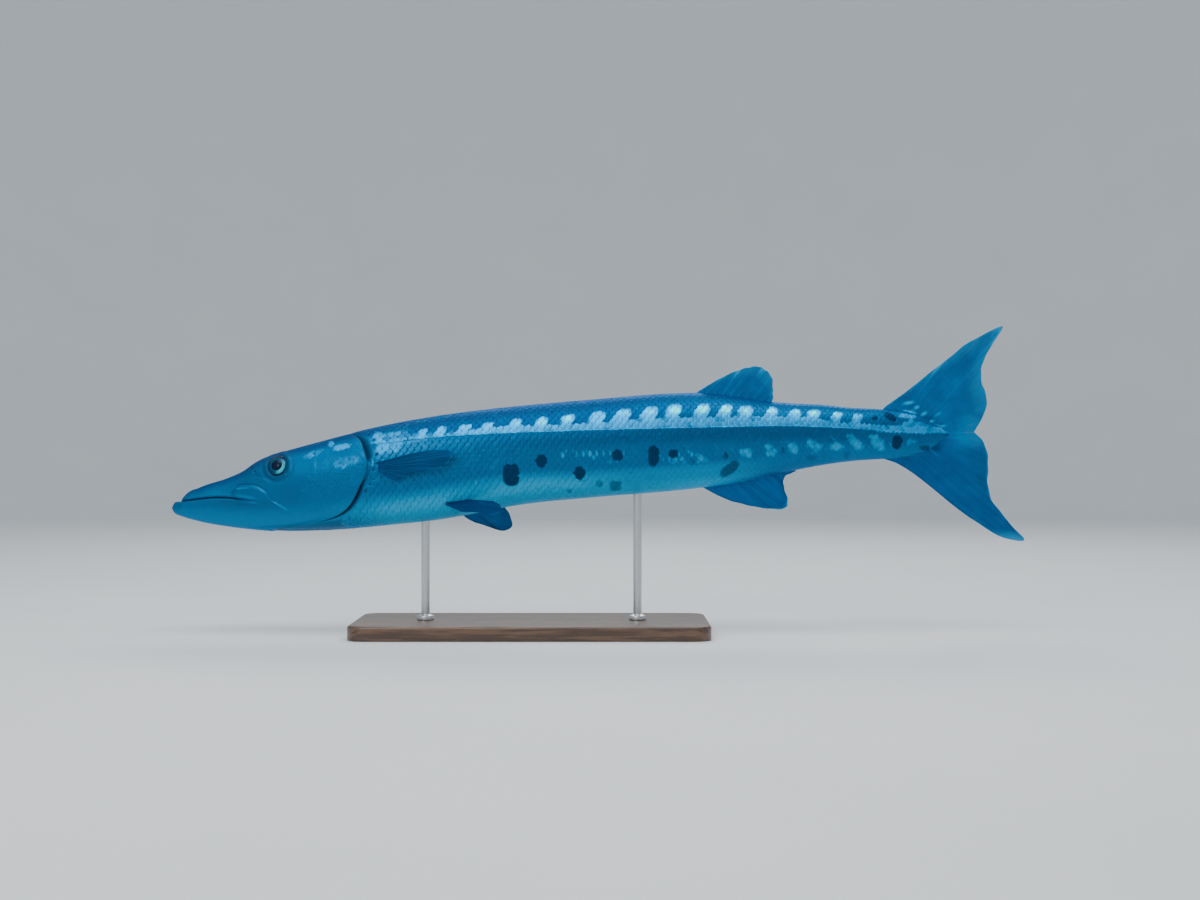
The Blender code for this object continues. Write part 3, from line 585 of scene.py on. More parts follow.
def markings(length, height, side):
    """The share of each colour at a place on the skin, as named arrays."""
    over = height - smooth(LATERAL_LINE, length)
    over_belly = height - smooth(BELLY_LINE, length)
    shift = np.where(side > 0, 11.0, 0.0)  # the right side's flames stand between the left's
    band_top = np.interp(length, *np.transpose(BAND_TOP))
    band = between(over, -0.6, 0.5, band_top - 1.5, band_top + 1.5)
    band = band * np.interp(length, (330, 380, 430, 520), (0.38, 0.42, 0.5, 0.53))
    silver = ease(length, 262, 300) * np.maximum(band, flames(length + shift, over))
    silver = np.maximum(silver, strongest(length, height, SILVER_PATCHES, 5))
    faint = 1.2 * strongest(length + shift, height, CHEVRONS, 8)
    faint = np.maximum(faint, strongest(length, height, FACE_STREAKS, 2.2))
    back = ease(height - smooth(BACK_LINE, np.minimum(length, 339)), -5, 7)
    back = np.where(length > 340, ease(over, 3, 9), back) * (1 - 0.6 * ease(length, 600, 850))
    under = 0.85 * between(-over, 0.2, 1.2, 12, 27) * ease(length, 340, 470)
    under = under * (1 - 0.45 * ease(length, 900, 1010))
    seam = 0.25 * bump(over_belly - 11, 6) * between(length, 430, 520, 800, 900)
    # Painted shade on the lower flank, darkening it where the lamps' reflection falls
    reflection_shade = 0.4 * bump(over_belly + 8, 10) * between(length, 560, 680, 900, 960)
    belly = ease(-over_belly, -16, 14) * (0.2 + 0.8 * ease(length, 235, 330))
    left_dark, right_dark = (strongest(length, height, BLOTCHES[word], 3.2) for word in (-1, 1))
    return {
        "back": back,
        "silver": silver,
        "faint": faint,
        "band": np.maximum.reduce([under, seam, reflection_shade]),
        "dark": np.where(side < 0, left_dark, right_dark),
        "belly": belly * (1 - 0.9 * ease(length, 740, 880)),
        # painted glints: where single scales get a pale stroke
        "glint": strongest(length, height, GLINTS, 9),
    }


def head_shade(length, height):
    """How much shade is painted into the face's hollows: the mouth's cut, the nostrils, the edge of
    the jaw's plate, the eye's socket and the ring round it, with the face's dusky places."""
    over = height - smooth(MOUTH_LINE, length)
    mouth = 0.8 * bump(over, 1.15) * (1 - ease(length, 84, 114)) * ease(length, 8, 13)
    away = np.hypot(length - EYE_AT[0], height - EYE_AT[1])
    socket = 0.8 * (1 - ease(away, 14.8, 19))
    ring = bump(away - 18, 5) * (0.46 + 0.16 * ease(EYE_AT[0] - length, -6, 6))
    ring = ring * ease(smooth(BACK, length) - height, 0, 5)
    high = smooth([p[:2] for p in UPPER_JAW_PLATE], length)
    rim = 0.6 * bump(height - high - 1.0, 1.3) * between(length, 92, 98, 141, 147)
    nostrils = [bump(way, 0.85) for way in nostril_ways(length, height)]
    dusky = strongest(length, height, FACE_SHADOWS, 12)
    return np.maximum.reduce([mouth, socket, ring, rim, *nostrils, dusky])


class Number:
    """A number at a socket of a material's nodes, on which Python's operators work."""

    def __init__(self, paint, socket):
        self.paint = paint
        self.socket = socket

    def sum(self, operation, *others):
        """The result of a math node with those inputs, numbers or sockets."""
        sockets = dict(enumerate(others))
        return self.paint.node("ShaderNodeMath", {"operation": operation}, sockets)

    def __add__(self, other):
        return self.sum("ADD", self, other)

    def __sub__(self, other):
        return self.sum("SUBTRACT", self, other)

    def __rsub__(self, other):
        return self.sum("SUBTRACT", other, self)

    def __mul__(self, other):
        return self.sum("MULTIPLY", self, other)

    def sine(self):
        return self.sum("SINE", self)

    def ease(self, low, high):
        """0 below low, 1 above high, and smooth between them."""
        sockets = {"Value": self, "From Min": low, "From Max": high}
        return self.paint.node("ShaderNodeMapRange", {"interpolation_type": "SMOOTHSTEP"}, sockets)

    __radd__ = __add__
    __rmul__ = __mul__


class Paint:
    """A material whose nodes are added by one method and read as numbers."""

    def __init__(self, name):
        self.material = bpy.data.materials.new(name)
        self.material.use_nodes = True
        self.tree = self.material.node_tree
        self.shader = self.tree.nodes["Principled BSDF"]

    def feed(self, socket, value):
        if isinstance(value, Number):
            self.tree.links.new(value.socket, socket)
        else:
            socket.default_value = value

    def node(self, kind, settings=None, sockets=None, output=0):
        made = self.tree.nodes.new(kind)
        for word, value in (settings or {}).items():
            setattr(made, word, value)
        for word, value in (sockets or {}).items():
            self.feed(made.inputs[word], value)
        return Number(self, made.outputs[output])

    def attribute(self, word):
        return self.node("ShaderNodeAttribute", {"attribute_name": word}, output="Fac")

    def place(self):
        return self.node("ShaderNodeTexCoord", output="Object")

    def noise(self, scale, detail=2.0, roughness=0.5, where=None):
        place = where or self.place()
        sockets = {"Vector": place, "Scale": scale, "Detail": detail, "Roughness": roughness}
        return self.node("ShaderNodeTexNoise", None, sockets, "Fac")

    def stretch(self, *scales):
        """Object coordinates scaled by axis, which draws a pattern out along the small ones."""
        return self.node("ShaderNodeMapping", None, {"Vector": self.place(), "Scale": scales})

    def mix(self, share, first, second):
        """A colour between two, by the share of the second."""
        ends = [c if isinstance(c, Number) else (*c, 1.0) for c in (first, second)]
        return self.node("ShaderNodeMix", {"data_type": "RGBA"}, {0: share, 6: ends[0], 7: ends[1]}, 2)

    def relief(self, height, distance, strength=1.0):
        """The normal of a surface with that height, whose full step is distance metres."""
        sockets = {"Height": height, "Distance": distance, "Strength": strength}
        return self.node("ShaderNodeBump", None, sockets)

    def finish(self, **inputs):
        for word, value in inputs.items():
            self.feed(self.shader.inputs[word.replace("_", " ")], value)
        return self.material


# Colours of the skin as the sea shows them
BACK_BLUE = (0, 0.070, 0.210)
FLANK_BLUE = (0, 0.120, 0.290)
BELLY_BLUE = (0, 0.400, 0.700)
SILVER = (0, 0.370, 0.800)
FLAME = (0, 0.520, 0.980)
BRIGHT = (0, 0.950, 1.000)
FAINT_SILVER = (0, 0.340, 0.640)
BAND_BLUE = (0, 0.085, 0.225)
BLOTCH = (0, 0.030, 0.090)
# A dark blue for painted shade in the hollows, the gill opening and under the scales
PAINTED_SHADE_BLUE = (0, 0.026, 0.072)


def fish_skin(name, scaled):
    """Painted and varnished skin. The markings' shares come from the mesh, fine mottling breaks
    their edges, and silver places shine like metal."""
    paint = Paint(name)
    back, band, belly, dark, faint, grain, shade, silver = map(
        paint.attribute, ("back", "band", "belly", "dark", "faint", "grain", "shade", "silver"),
    )
    mottle = paint.noise(95, 4, 0.6)
    fine = paint.noise(420, 3, 0.6)
    streaks = paint.noise(1.0, 3, 0.55, paint.stretch(60, 260, 260))
    ragged = (mottle - 0.5) * 0.5 + (fine - 0.5) * 0.35
    silver = silver + (ragged + (grain - 0.5) * 0.3) * silver.ease(0.02, 0.3)
    dark = dark + (fine - 0.5) * 0.3 * dark.ease(0.02, 0.3)
    faint = (faint + ragged * 1.5 + (grain - 0.5) * 0.6) * faint.ease(0.02, 0.4)
    tone = (grain - 0.5) * 0.22 + (mottle - 0.5) * 0.3 + (streaks - 0.5) * 0.25
    colour = paint.mix(belly, FLANK_BLUE, BELLY_BLUE)
    for share, over in (
        (back * (0.86 + 0.28 * mottle), BACK_BLUE),
        (tone.ease(0.0, 0.4) * 0.4, BELLY_BLUE),
        (band, BAND_BLUE),
        ((0 - tone).ease(0.0, 0.4) * 0.5, BAND_BLUE),
        (faint.ease(0.25, 0.8) * 0.8, FAINT_SILVER),
        (silver.ease(0.15, 0.6), SILVER),
        (silver.ease(0.6, 0.85), FLAME),
        (silver.ease(0.8, 1.1), BRIGHT),
        (dark.ease(0.2, 0.8), BLOTCH),
    ):
        colour = paint.mix(share, colour, over)
    height = fine * 0.5 + paint.noise(1400, 2, 0.5) * 0.3
    if scaled:
        colour = paint.mix(paint.attribute("rim") * 0.15, colour, BAND_BLUE)
        height = height * 0.5 + (paint.attribute("reach") * 46.0).sine() * 0.07
    else:
        sockets = {"Vector": paint.place(), "Scale": 330.0}
        pits = paint.node("ShaderNodeTexVoronoi", None, sockets, "Distance")
        height = height - (1 - pits.ease(0.08, 0.3)) * 0.45
    shiny = silver.ease(0.2, 0.7)
    # Painted shade: where the shade attribute is high the colour goes to a dark shade blue, in hollows,
    # the gill opening and under the scales
    return paint.finish(
        Base_Color=paint.mix(shade, colour, PAINTED_SHADE_BLUE),
        Metallic=(0.72 + 0.25 * shiny - 0.35 * belly) * (1 - shade),
        Roughness=0.3 + 0.06 * back + 0.02 * shiny + 0.18 * belly + 0.12 * fine + 0.12 * grain,
        Normal=paint.relief(height, 0.00035, 0.5),
        Coat_Weight=0.05 * (1 - back) * (1 - shiny), Coat_Roughness=0.2,
        Specular_IOR_Level=0.3, Specular_Tint=(0.15, 0.6, 1.0, 1.0),
    )


body_ends = np.array([0, BODY_END])
pole_heights = (smooth(BACK, body_ends) + smooth(BELLY, body_ends)) / 2
poles = world(body_ends + (-SNOUT_CAP, TAIL_CAP), 0.0, pole_heights)
shown = markings(skin_length, skin_height, side)
del shown["glint"]
# Painted shade: the skin is darkened under the scales, in the gill opening and behind the cover's edge,
# and in the face's hollows
shade_under_scales = lengths > gill_edge + CHAMBER_END * smooth(GILL_GAP, turns) + 18
dark = np.maximum.reduce([shade, 0.45 * shade_under_scales, gill_shadow(lengths, turns)])
hollows = head_shade(skin_length, skin_height) * (skin_length < 260)
shown["shade"] = np.maximum(both_sides(dark), hollows)
skin = new_piece(
    "fish_skin", np.concatenate([points.reshape(-1, 3), poles]), ring_faces(*points.shape[:2]),
    fish_skin("painted_skin", False), grain=0.5,
    **{word: np.append(values, [0, 0]) for word, values in shown.items()},
)
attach(skin, "root")
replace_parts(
    skin, "head", "lower_jaw", "upper_jaw_plate_left", "upper_jaw_plate_right", "gill_cover_left",
    "gill_cover_right", "trunk_front", "trunk_rear", "tail_stalk",
)

# Scales. Thin horny plates with a rounded rear edge, each sunk in the skin at its front and lying
# over the two behind it, in rows along the body. They carry the skin's markings.

SCALE_SLOPE = 0.046  # rise for each millimetre towards the rear edge
SCALE_CROWN = 0.18  # fall from its middle to its sides
SCALE_BASE = 0.34  # its middle over the skin
SCALE_FRONT = -0.80  # from its middle forward, in row pitches
SCALE_ALONG = np.array([0, 0.42, 0.74, 0.92, 1.0, 1.0])  # its rows, front to rear, then its edge
SCALE_DROP = np.array([0, 0, 0.02, 0.07, 0.18, 0.5])  # how far each of those is turned down
SCALE_ACROSS = np.linspace(-1, 1, 7)
RELIEF_END = 289.0  # behind this length the head's relief is not read any more
MARK_SHARE = 0.7  # how far out from the scale's middle its points' markings are read
UNWRAP_LENGTH = 1130.0  # millimetres along the body and round half of it that fill the unwrap
UNWRAP_GIRTH = 220.0
PATCH_SIZE = 0.0022  # a scale's patch on it, for each pitch of the scale's length
scale_random = np.random.default_rng(17)


def scale_faces(count):
    """Each scale's quads, with those of its underside and a face for each of its flanks."""
    rows, columns = len(SCALE_ALONG), len(SCALE_ACROSS)
    number = np.arange(rows * columns).reshape(rows, columns)
    top = np.stack([number[:-1, :-1], number[:-1, 1:], number[1:, 1:], number[1:, :-1]], -1)
    under = np.stack([number[0, 1:], number[0, :-1], number[-1, :-1], number[-1, 1:]], -1)
    flanks = np.stack([number[::-1, 0], number[:, -1]])[:, ::-1]
    starts = (np.arange(count) * rows * columns)[:, None, None]
    flip = slice(None, None, -1)
    quads = (np.concatenate([top.reshape(-1, 4), under])[None] + starts).reshape(-1, 4)
    ends = (flanks[None] + starts).reshape(-1, rows)
    return quads[:, flip], ends[:, flip]


def lay_scales(name, side, length, turn, pitch, half_width, lift=0.0, slope=SCALE_SLOPE):
    """Scales as one mesh. A scale's point lies a share of the way from its front edge to its
    rear edge, which is round: -0.15 + 0.75 sqrt(1 - v^2) pitches behind its middle at v across.
    It rises with its slope, falls off by v^2, and is set on the skin's own relief."""
    length, turn, pitch, half_width = np.stack([length, turn, pitch, half_width])[..., None, None]
    longer, steeper, twist, higher, tone = scale_random.normal(0, 1, (5, *length.shape))
    across = np.broadcast_to(SCALE_ACROSS, (1, len(SCALE_ALONG), len(SCALE_ACROSS)))
    rear = -0.15 + 0.75 * np.sqrt(1 - across**2)
    reach = SCALE_FRONT + (rear * (1 + 0.04 * longer) - SCALE_FRONT) * SCALE_ALONG[:, None]
    where = length + reach * pitch
    girth = girth_at(length, turn) + across * half_width
    total = half_girth(length)
    past = np.where(girth < 0, -1.0, 1.0) * np.where(girth > total, -1.0, 1.0)
    girth = np.where(girth < 0, -girth, np.where(girth > total, 2 * total - girth, girth))
    turns = turn_at_girth(where, girth * half_girth(where) / total)
    tilt = slope * (1 + 0.15 * steeper) * reach * pitch + 0.016 * twist * across * half_width
    rise = SCALE_BASE + lift + tilt - SCALE_CROWN * across**2 - SCALE_DROP[:, None] + 0.03 * higher
    edge = smooth(GILL_LINE, turns)
    on_head = length < edge
    floor = gill_floor(where, turns)
    past_gap = where - edge - 6 * smooth(GILL_GAP, turns)
    on_floor = 0.9 * (1 - ease(past_gap, 0, 9))
    beyond = 0.5 * (1 - ease(past_gap, 0, 6))
    sunk = np.where(floor < 0, on_floor, beyond)  # the first rows' fronts go under the skin
    relief = skin_relief(np.minimum(where, RELIEF_END), turns)
    rise = rise + np.where(on_head, relief, floor - sunk)
    out, height = across_section(where, turns, rise)
    points = world(where, side * past * out, height).reshape(-1, 3)
    _, middle = across_section(length, turn)
    # A scale's colour is drawn together towards that of its middle, as a real scale has one tone
    own = 1 - MARK_SHARE
    mark_length = own * length + MARK_SHARE * where
    mark_height = own * middle + MARK_SHARE * height
    seen = markings(mark_length, mark_height, float(side))
    # Painted glints: a pale stroke along the rear edge of single scales
    stroke = bump(reach - rear + 0.26, 0.16) * (1 - across**2) * (tone > -0.3)
    seen["faint"] = np.maximum(seen["faint"], 1.1 * seen.pop("glint") * stroke)
    piece = new_piece(
        name, points, scale_faces(len(length)), scale_paint,
        rim=ease(reach, rear - 0.16, rear - 0.02),
        shade=np.where(on_head, 0, gill_shadow(where, turns)),
        reach=np.hypot(reach - SCALE_FRONT, across * 0.8),
        grain=np.broadcast_to(np.clip(0.5 + 0.22 * tone, 0, 1), where.shape),
        **seen,
    )
    # The unwrap is by length and girth, and each scale is a small patch at its own place on it
    root = np.stack([length / UNWRAP_LENGTH, girth_at(length, turn) / UNWRAP_GIRTH], -1)
    patch = np.stack(np.broadcast_arrays(reach - SCALE_FRONT, (across + 1) / 2), -1) * PATCH_SIZE
    spread = (root + patch).reshape(-1, 2)
    corners = np.empty(len(piece.data.loops), np.int32)
    piece.data.loops.foreach_get("vertex_index", corners)
    layer = piece.data.uv_layers.new(name="OFBake")
    layer.data.foreach_set("uv", spread[corners].astype(np.float32).ravel())
    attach(piece, "root")


def steps_along(first, last, pitch_curve, share):
    """Lengths from first on until last is passed, each that share of a pitch after the other."""
    places = [first]
    while places[-1] < last:
        places.append(places[-1] + float(smooth(pitch_curve, places[-1])) * share)
    return np.array(places)


def body_lattice(first, last, pitch_curve, row_share):
    """Middles of the body's scales. Columns follow the body at the pitch's spacing, rows run
    along the lateral line, and every second row is set half a pitch back."""
    column_at = steps_along(first, last, pitch_curve, 0.5)
    number = np.arange(len(column_at))
    rows = np.arange(-30, 31)
    length = np.repeat(column_at[:, None], len(rows), 1)
    pitch = smooth(pitch_curve, length)
    line = girth_at(column_at, turn_at(column_at, smooth(LATERAL_LINE, column_at)))[:, None]
    girth = line + rows * pitch * row_share
    total = half_girth(column_at)[:, None]
    margin = pitch * row_share * 0.3
    keep = ((number[:, None] + rows) % 2 == 0) & (girth > margin) & (girth < total - margin)
    return length[keep], turn_at_girth(length, np.clip(girth, 0, total))[keep], pitch[keep]


SCALE_PITCH = ((250, 10.4), (420, 9.8), (700, 9.0), (900, 7.8), (1030, 6.4), (1104, 4.8))
ROW_SHARE = 0.70  # a row's height over the pitch along it
SIDES = (("left", -1), ("right", 1))
scale_paint = fish_skin("painted_scales", True)
for side_word, side_sign in SIDES:
    length, turn, pitch = body_lattice(252.0, 1096.0, SCALE_PITCH, ROW_SHARE)
    clear = length - 0.8 * pitch > smooth(GILL_LINE, turn) + 5.6 * smooth(GILL_GAP, turn) + 0.6
    length, turn, pitch = length[clear], turn[clear], pitch[clear]
    lay_scales(f"scales_{side_word}", side_sign, length, turn, pitch, pitch * ROW_SHARE * 1.02)
# One row along the ridge of the back and one along the belly close the coat
for ridge_word, ridge_turn, first in (("back", 0.0, 262.0), ("belly", math.pi, 215.0)):
    length = steps_along(first, 1088, SCALE_PITCH, 0.62)
    pitch = smooth(SCALE_PITCH, length)
    turn = np.full(len(length), ridge_turn)
    lay_scales(f"scales_{ridge_word}", -1, length, turn, pitch, pitch * ROW_SHARE, 0.12)
# Small scales on cheek and gill cover, clear of its edge, the throat, the skull and the eye
CHEEK_PITCH = ((100, 5.0), (300, 6.0))
CHEEK_ROW_SHARE = 0.66
for side_word, side_sign in SIDES:
    length, turn, pitch = body_lattice(172.0, 290.0, CHEEK_PITCH, CHEEK_ROW_SHARE)
    _, level = across_section(length, turn)
    left = smooth(GILL_LINE, turn) - length
    away = np.hypot(length - EYE_AT[0], level - EYE_AT[1])
    clear = (left > 7) & (level > -112) & (level < -12) & (away > 26)
    length, turn, pitch = length[clear], turn[clear], pitch[clear]
    sunk = -0.30 - 0.22 * (1 - ease(length, 172, 196))[:, None, None]
    half_width = pitch * CHEEK_ROW_SHARE * 1.02
    lay_scales(f"cheek_scales_{side_word}", side_sign, length, turn, pitch, half_width, sunk, 0.05)
# The lateral line: a raised tube on each scale of its row
TUBE_HALF_WIDTH = 0.85
for side_word, side_sign in SIDES:
    length = steps_along(300.0, 1070, SCALE_PITCH, 1)
    turn = turn_at(length, smooth(LATERAL_LINE, length))
    pitch = smooth(SCALE_PITCH, length) * 0.8
    half_width = np.full(len(length), TUBE_HALF_WIDTH)
    lay_scales(f"lateral_line_{side_word}", side_sign, length, turn, pitch, half_width, 0.42)

# Eyes. Glass eyes let into the sockets: a black lens bulges through the pupil, and a ring of
# silver iris lies round it, brightest below and behind with painted light, under one clear glossy
# surface.

PUPIL = 8.0
IRIS = 12.4
# How far out from the middle, and how far over the rim's plane
EYE_PROFILE = (
    (0, 10.35), (3, 10.1), (5.5, 9.45), (7.2, 8.7), (7.9, 8.25), (8.3, 8.1), (9, 8.15), (10.5, 7.55),
    (12, 6.6), (12.8, 6.0), (14, 4.9), (15.2, 3.1), (15.8, 1.6), (16, 0),
)


def turned_rings(reach, height, corners):
    """Rings round the Z axis: how far out each one is and how high it lies."""
    around = np.linspace(0, 2 * math.pi, corners, endpoint=False)
    reach, height = np.stack([reach, height])[..., None]
    return np.stack(np.broadcast_arrays(reach * np.cos(around), reach * np.sin(around), height), -1)


def look_out(length, height, side, sink):
    """A placing whose Z axis looks out of the skin there, from sink millimetres under it."""
    def on_skin(at, level):
        out, up = across_section(at, turn_at(at, level))
        return Vector(world(at, side * out, up))
    here = on_skin(length, height)
    along = on_skin(length + 4, height) - here
    down = on_skin(length, height - 4) - here
    out = along.cross(down)
    if out.y * side < 0:
        out.negate()
    turned = out.normalized().to_track_quat("Z", "Y").to_matrix().to_4x4()
    return Matrix.Translation(here) @ turned @ Matrix.Translation((0, 0, -sink * MM))


def glass_eye():
    """Pupil and iris by the distance from the eye's axis, with fibres that run outward and a
    bright crescent of painted light below and behind."""
    paint = Paint("glass_eye")
    away = paint.attribute("away")
    around = paint.attribute("around")
    fibres = paint.noise(1.0, 3, 0.6, paint.node(
        "ShaderNodeCombineXYZ", None, {"X": around * 26.0, "Y": away * 0.35, "Z": 0.0},
    ))
    iris = away.ease(PUPIL - 0.1, PUPIL + 0.35) * (1 - away.ease(IRIS - 0.7, IRIS + 0.5))
    bright = (fibres * 0.5 + paint.attribute("lit") * 1.1 - 0.7).ease(0.0, 0.7)
    silver = paint.mix(bright, (0, 0.045, 0.11), (0.02, 0.5, 0.62))
    silver = paint.mix(away.ease(PUPIL + 0.2, PUPIL + 1.0), (0.01, 0.2, 0.3), silver)
    colour = paint.mix(iris, (0, 0.008, 0.03), silver)
    return paint.finish(
        Base_Color=colour, Metallic=iris * 0.4, Roughness=0.35 - 0.08 * iris, Coat_Weight=0.2,
        Coat_Roughness=0.05, Specular_IOR_Level=0.05, Normal=paint.relief(fibres * iris, 0.0003, 0.5),
    )


eye_paint = glass_eye()
for side_word, side_sign in SIDES:
    front = np.linspace(0, 1, 34)[1:] ** 0.8 * EYE_RADIUS
    behind = front[-2::-6]
    rise = np.concatenate([smooth(EYE_PROFILE, front), -3 * (1 - behind / EYE_RADIUS)])
    rings = turned_rings(np.concatenate([front, behind]), rise, 96)
    ends = np.array([(0, 0, EYE_PROFILE[0][1]), (0, 0, -3.2)])
    points = np.concatenate([rings.reshape(-1, 3), ends])
    placing = look_out(*EYE_AT, side_sign, EYE_DEPTH - EYE_PROUD)
    spoke = points * MM @ np.array(placing.to_3x3()).T
    # Painted light: lit is highest where the iris faces back and down, and the iris is painted brighter
    # there
    lit = 0.87 * spoke[:, 0] - 0.5 * spoke[:, 2]
    eye = new_piece(
        f"glass_eye_{side_word}", spoke + np.array(placing.translation),
        [f[:, ::-1] for f in ring_faces(*rings.shape[:2])], eye_paint,
        away=np.where(points[:, 2] <= 0, EYE_RADIUS, np.hypot(*points[:, :2].T)),
        around=np.abs(np.arctan2(points[:, 1], points[:, 0])),
        lit=0.5 + 0.5 * lit / (np.hypot(spoke[:, 0], spoke[:, 2]) + 1e-9),
    )
    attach(eye, "root")
    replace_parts(eye, f"eye_{side_word}")

# Fins. A thin skin over bony rays that fork towards the margin, cast in resin: each ray is a
# ridge on both faces, the membrane between them thins outward, and the root swells into the body.

# Each fin as (share from first ray to last, length, height) for its root and its margin
FIRST_DORSAL = (
    ((0, 392, 22), (1, 468, 30)),
    ((0, 400, 27.6), (0.3, 436, 32.6), (1, 520, 41.2)),
)
SECOND_DORSAL = (
    ((0, 735, 50), (1, 846, 36)),
    (
        (0, 747, 60), (0.08, 760, 68), (0.2, 785, 82), (0.38, 817, 94), (0.48, 830, 95.6),
        (0.6, 841, 91.1), (0.72, 851, 79.7), (0.86, 853.6, 61), (1, 853, 49),
    ),
)
ANAL = (
    ((0, 742, -66), (1, 868, -44)),
    (
        (0, 752, -76.5), (0.1, 781.6, -91.9), (0.25, 818.5, -103.3), (0.4, 851, -107.5),
        (0.5, 870, -107), (0.6, 874, -97), (0.75, 868.5, -76), (0.88, 870, -62), (1, 886, -54),
    ),
)
UPPER_TAIL = (
    ((0, 1000, 24), (0.35, 1040, 20), (0.7, 1072, 10), (1, 1090, -0.9)),
    (
        (0, 1014, 38.5), (0.1, 1046.5, 61.8), (0.2, 1078, 87), (0.3, 1107, 109), (0.4, 1140, 133.4),
        (0.47, 1184, 153.5), (0.53, 1169, 128), (0.6, 1158.5, 109), (0.68, 1153, 91.9),
        (0.76, 1154.2, 71.9), (0.84, 1160.7, 51.9), (0.91, 1158.5, 30.5), (0.96, 1150, 14.8),
        (1, 1142.2, 1.6),
    ),
)
LOWER_TAIL = (
    ((0, 1090, -0.7), (0.3, 1072, -15), (0.65, 1040, -27), (1, 1000, -33)),
    (
        (0, 1142.2, 1.9), (0.04, 1152.8, -8.1), (0.1, 1160.7, -24.5), (0.18, 1163, -46.7),
        (0.27, 1163, -75.2), (0.34, 1168.5, -96.7), (0.4, 1181.4, -112.4), (0.46, 1199, -134),
        (0.52, 1216, -153), (0.58, 1188, -150.5), (0.68, 1143, -125.2), (0.8, 1098.5, -92.4),
        (0.9, 1066.4, -63.8), (0.95, 1044, -48), (1, 1021.4, -39.5),
    ),
)
PECTORAL = (
    ((0, 297, -41), (1, 300, -54)),
    (
        (0, 312, -37.5), (0.12, 351, -27.7), (0.24, 378, -23.2), (0.33, 402, -23.5), (0.42, 405, -33),
        (0.55, 392, -46), (0.7, 362, -54), (0.8, 340, -60), (0.9, 327, -67), (1, 309, -58),
    ),
)
# The pelvic fins' heights are widths instead, measured out from the line they grow along, which
# is given by a length, the height there and its slope
PELVIC = (
    ((0, 388, -6), (1, 404, -10)),
    (
        (0, 404, 18), (0.2, 422, 34), (0.4, 446, 47), (0.55, 463, 55), (0.68, 478, 54), (0.84, 478, 38),
        (1, 468, 18),
    ),
)
PELVIC_LINE = (395.0, -98.0, 0.17)
PELVIC_TILT = {-1: math.radians(26), 1: math.radians(78)}
# The near fin is painted darker than the far one, as painted shade
PELVIC_LOOK = {-1: (7, 1.0), 1: (0, 0.2)}  # how much shorter it is behind, and how dark
# How far off the flank the pectoral fin stands, by the share of its length
PECTORAL_OUT = ((0, -3), (0.06, 0.8), (0.2, 3.5), (1, 17))
COLUMNS_PER_RAY = 14
fin_random = np.random.default_rng(5)


def in_midplane(grid, off):
    return world(grid[..., 0], off, grid[..., 1])


def on_flank(side):
    """Places the pectoral fin's plane over the flank: it stands further off towards its tip."""
    def place(grid, off):
        length, height = grid[..., 0], grid[..., 1]
        share = np.clip((length - 297) / 108, 0, 1)
        skin_out, _ = across_section(length, turn_at(length, height))
        return world(length, side * (skin_out + smooth(PECTORAL_OUT, share) + off), height)
    return place


def off_belly(side):
    """Places the pelvic fin's plane: its widths run out and down from a line on the belly."""
    tilt = PELVIC_TILT[side]

    def place(grid, off):
        length, width = grid[..., 0], grid[..., 1]
        line = PELVIC_LINE[1] + PELVIC_LINE[2] * (length - PELVIC_LINE[0])
        skin_out, _ = across_section(length, turn_at(length, line))
        out = width * math.cos(tilt) + off * math.sin(tilt)
        down = width * math.sin(tilt) - off * math.cos(tilt)
        return world(length, side * (skin_out + out), line - down)
    return place


def slab_faces(rows, columns):
    """Triangles, split alike on both faces of a thin sheet, with a wall round its rim."""
    number = np.arange(rows * columns).reshape(rows, columns)
    far = rows * columns
    a, b = number[:-1, :-1].ravel(), number[:-1, 1:].ravel()
    c, d = number[1:, 1:].ravel(), number[1:, :-1].ravel()
    halves = np.concatenate([np.stack([a, b, c], 1), np.stack([a, c, d], 1)])
    rim = np.concatenate([number[0], number[1:, -1], number[-1, -2::-1], number[-2:0:-1, 0]])
    after = np.roll(rim, -1)
    return [halves, far + halves[:, ::-1], np.stack([after, rim, far + rim, far + after], 1)]


def face_out(piece):
    """Turns every face of a closed mesh outward."""
    work = bmesh.new()
    work.from_mesh(piece.data)
    bmesh.ops.recalc_face_normals(work, faces=work.faces)
    work.to_mesh(piece.data)
    work.free()


def fin_skin():
    """Dark wet membrane, mottled, with jointed rays and a margin that goes thin and clear."""
    paint = Paint("fin_membrane")
    cloud = paint.noise(38, 3, 0.55)
    fine = paint.noise(300, 3, 0.6)
    pale = (paint.attribute("pale") + (cloud - 0.5) * 0.15 + (fine - 0.5) * 0.15).ease(0.12, 0.95)
    ray = paint.attribute("ray")
    colour = paint.mix(cloud.ease(0.2, 0.85), (0, 0.095, 0.275), (0, 0.125, 0.355))
    colour = paint.mix(ray.ease(0.25, 0.9) * 0.06, colour, (0, 0.17, 0.45))
    colour = paint.mix(pale, colour, (0, 0.48, 0.92))
    colour = paint.mix(paint.attribute("dusk") * 0.75, colour, (0, 0.034, 0.1))
    joints = (paint.attribute("run") * 3.6).sine().ease(0.55, 0.95)
    height = fine * 0.35 - joints * ray.ease(0.3, 0.8) * 0.6
    return paint.finish(
        Base_Color=colour, Metallic=0.7 - 0.1 * pale,
        Roughness=0.48 + 0.18 * (fine - 0.5) - 0.06 * ray,
        Alpha=1 - paint.attribute("thin") * 0.5, Normal=paint.relief(height, 0.0004, 0.35),
        Specular_IOR_Level=0.25, Specular_Tint=(0.15, 0.6, 1.0, 1.0),
    )


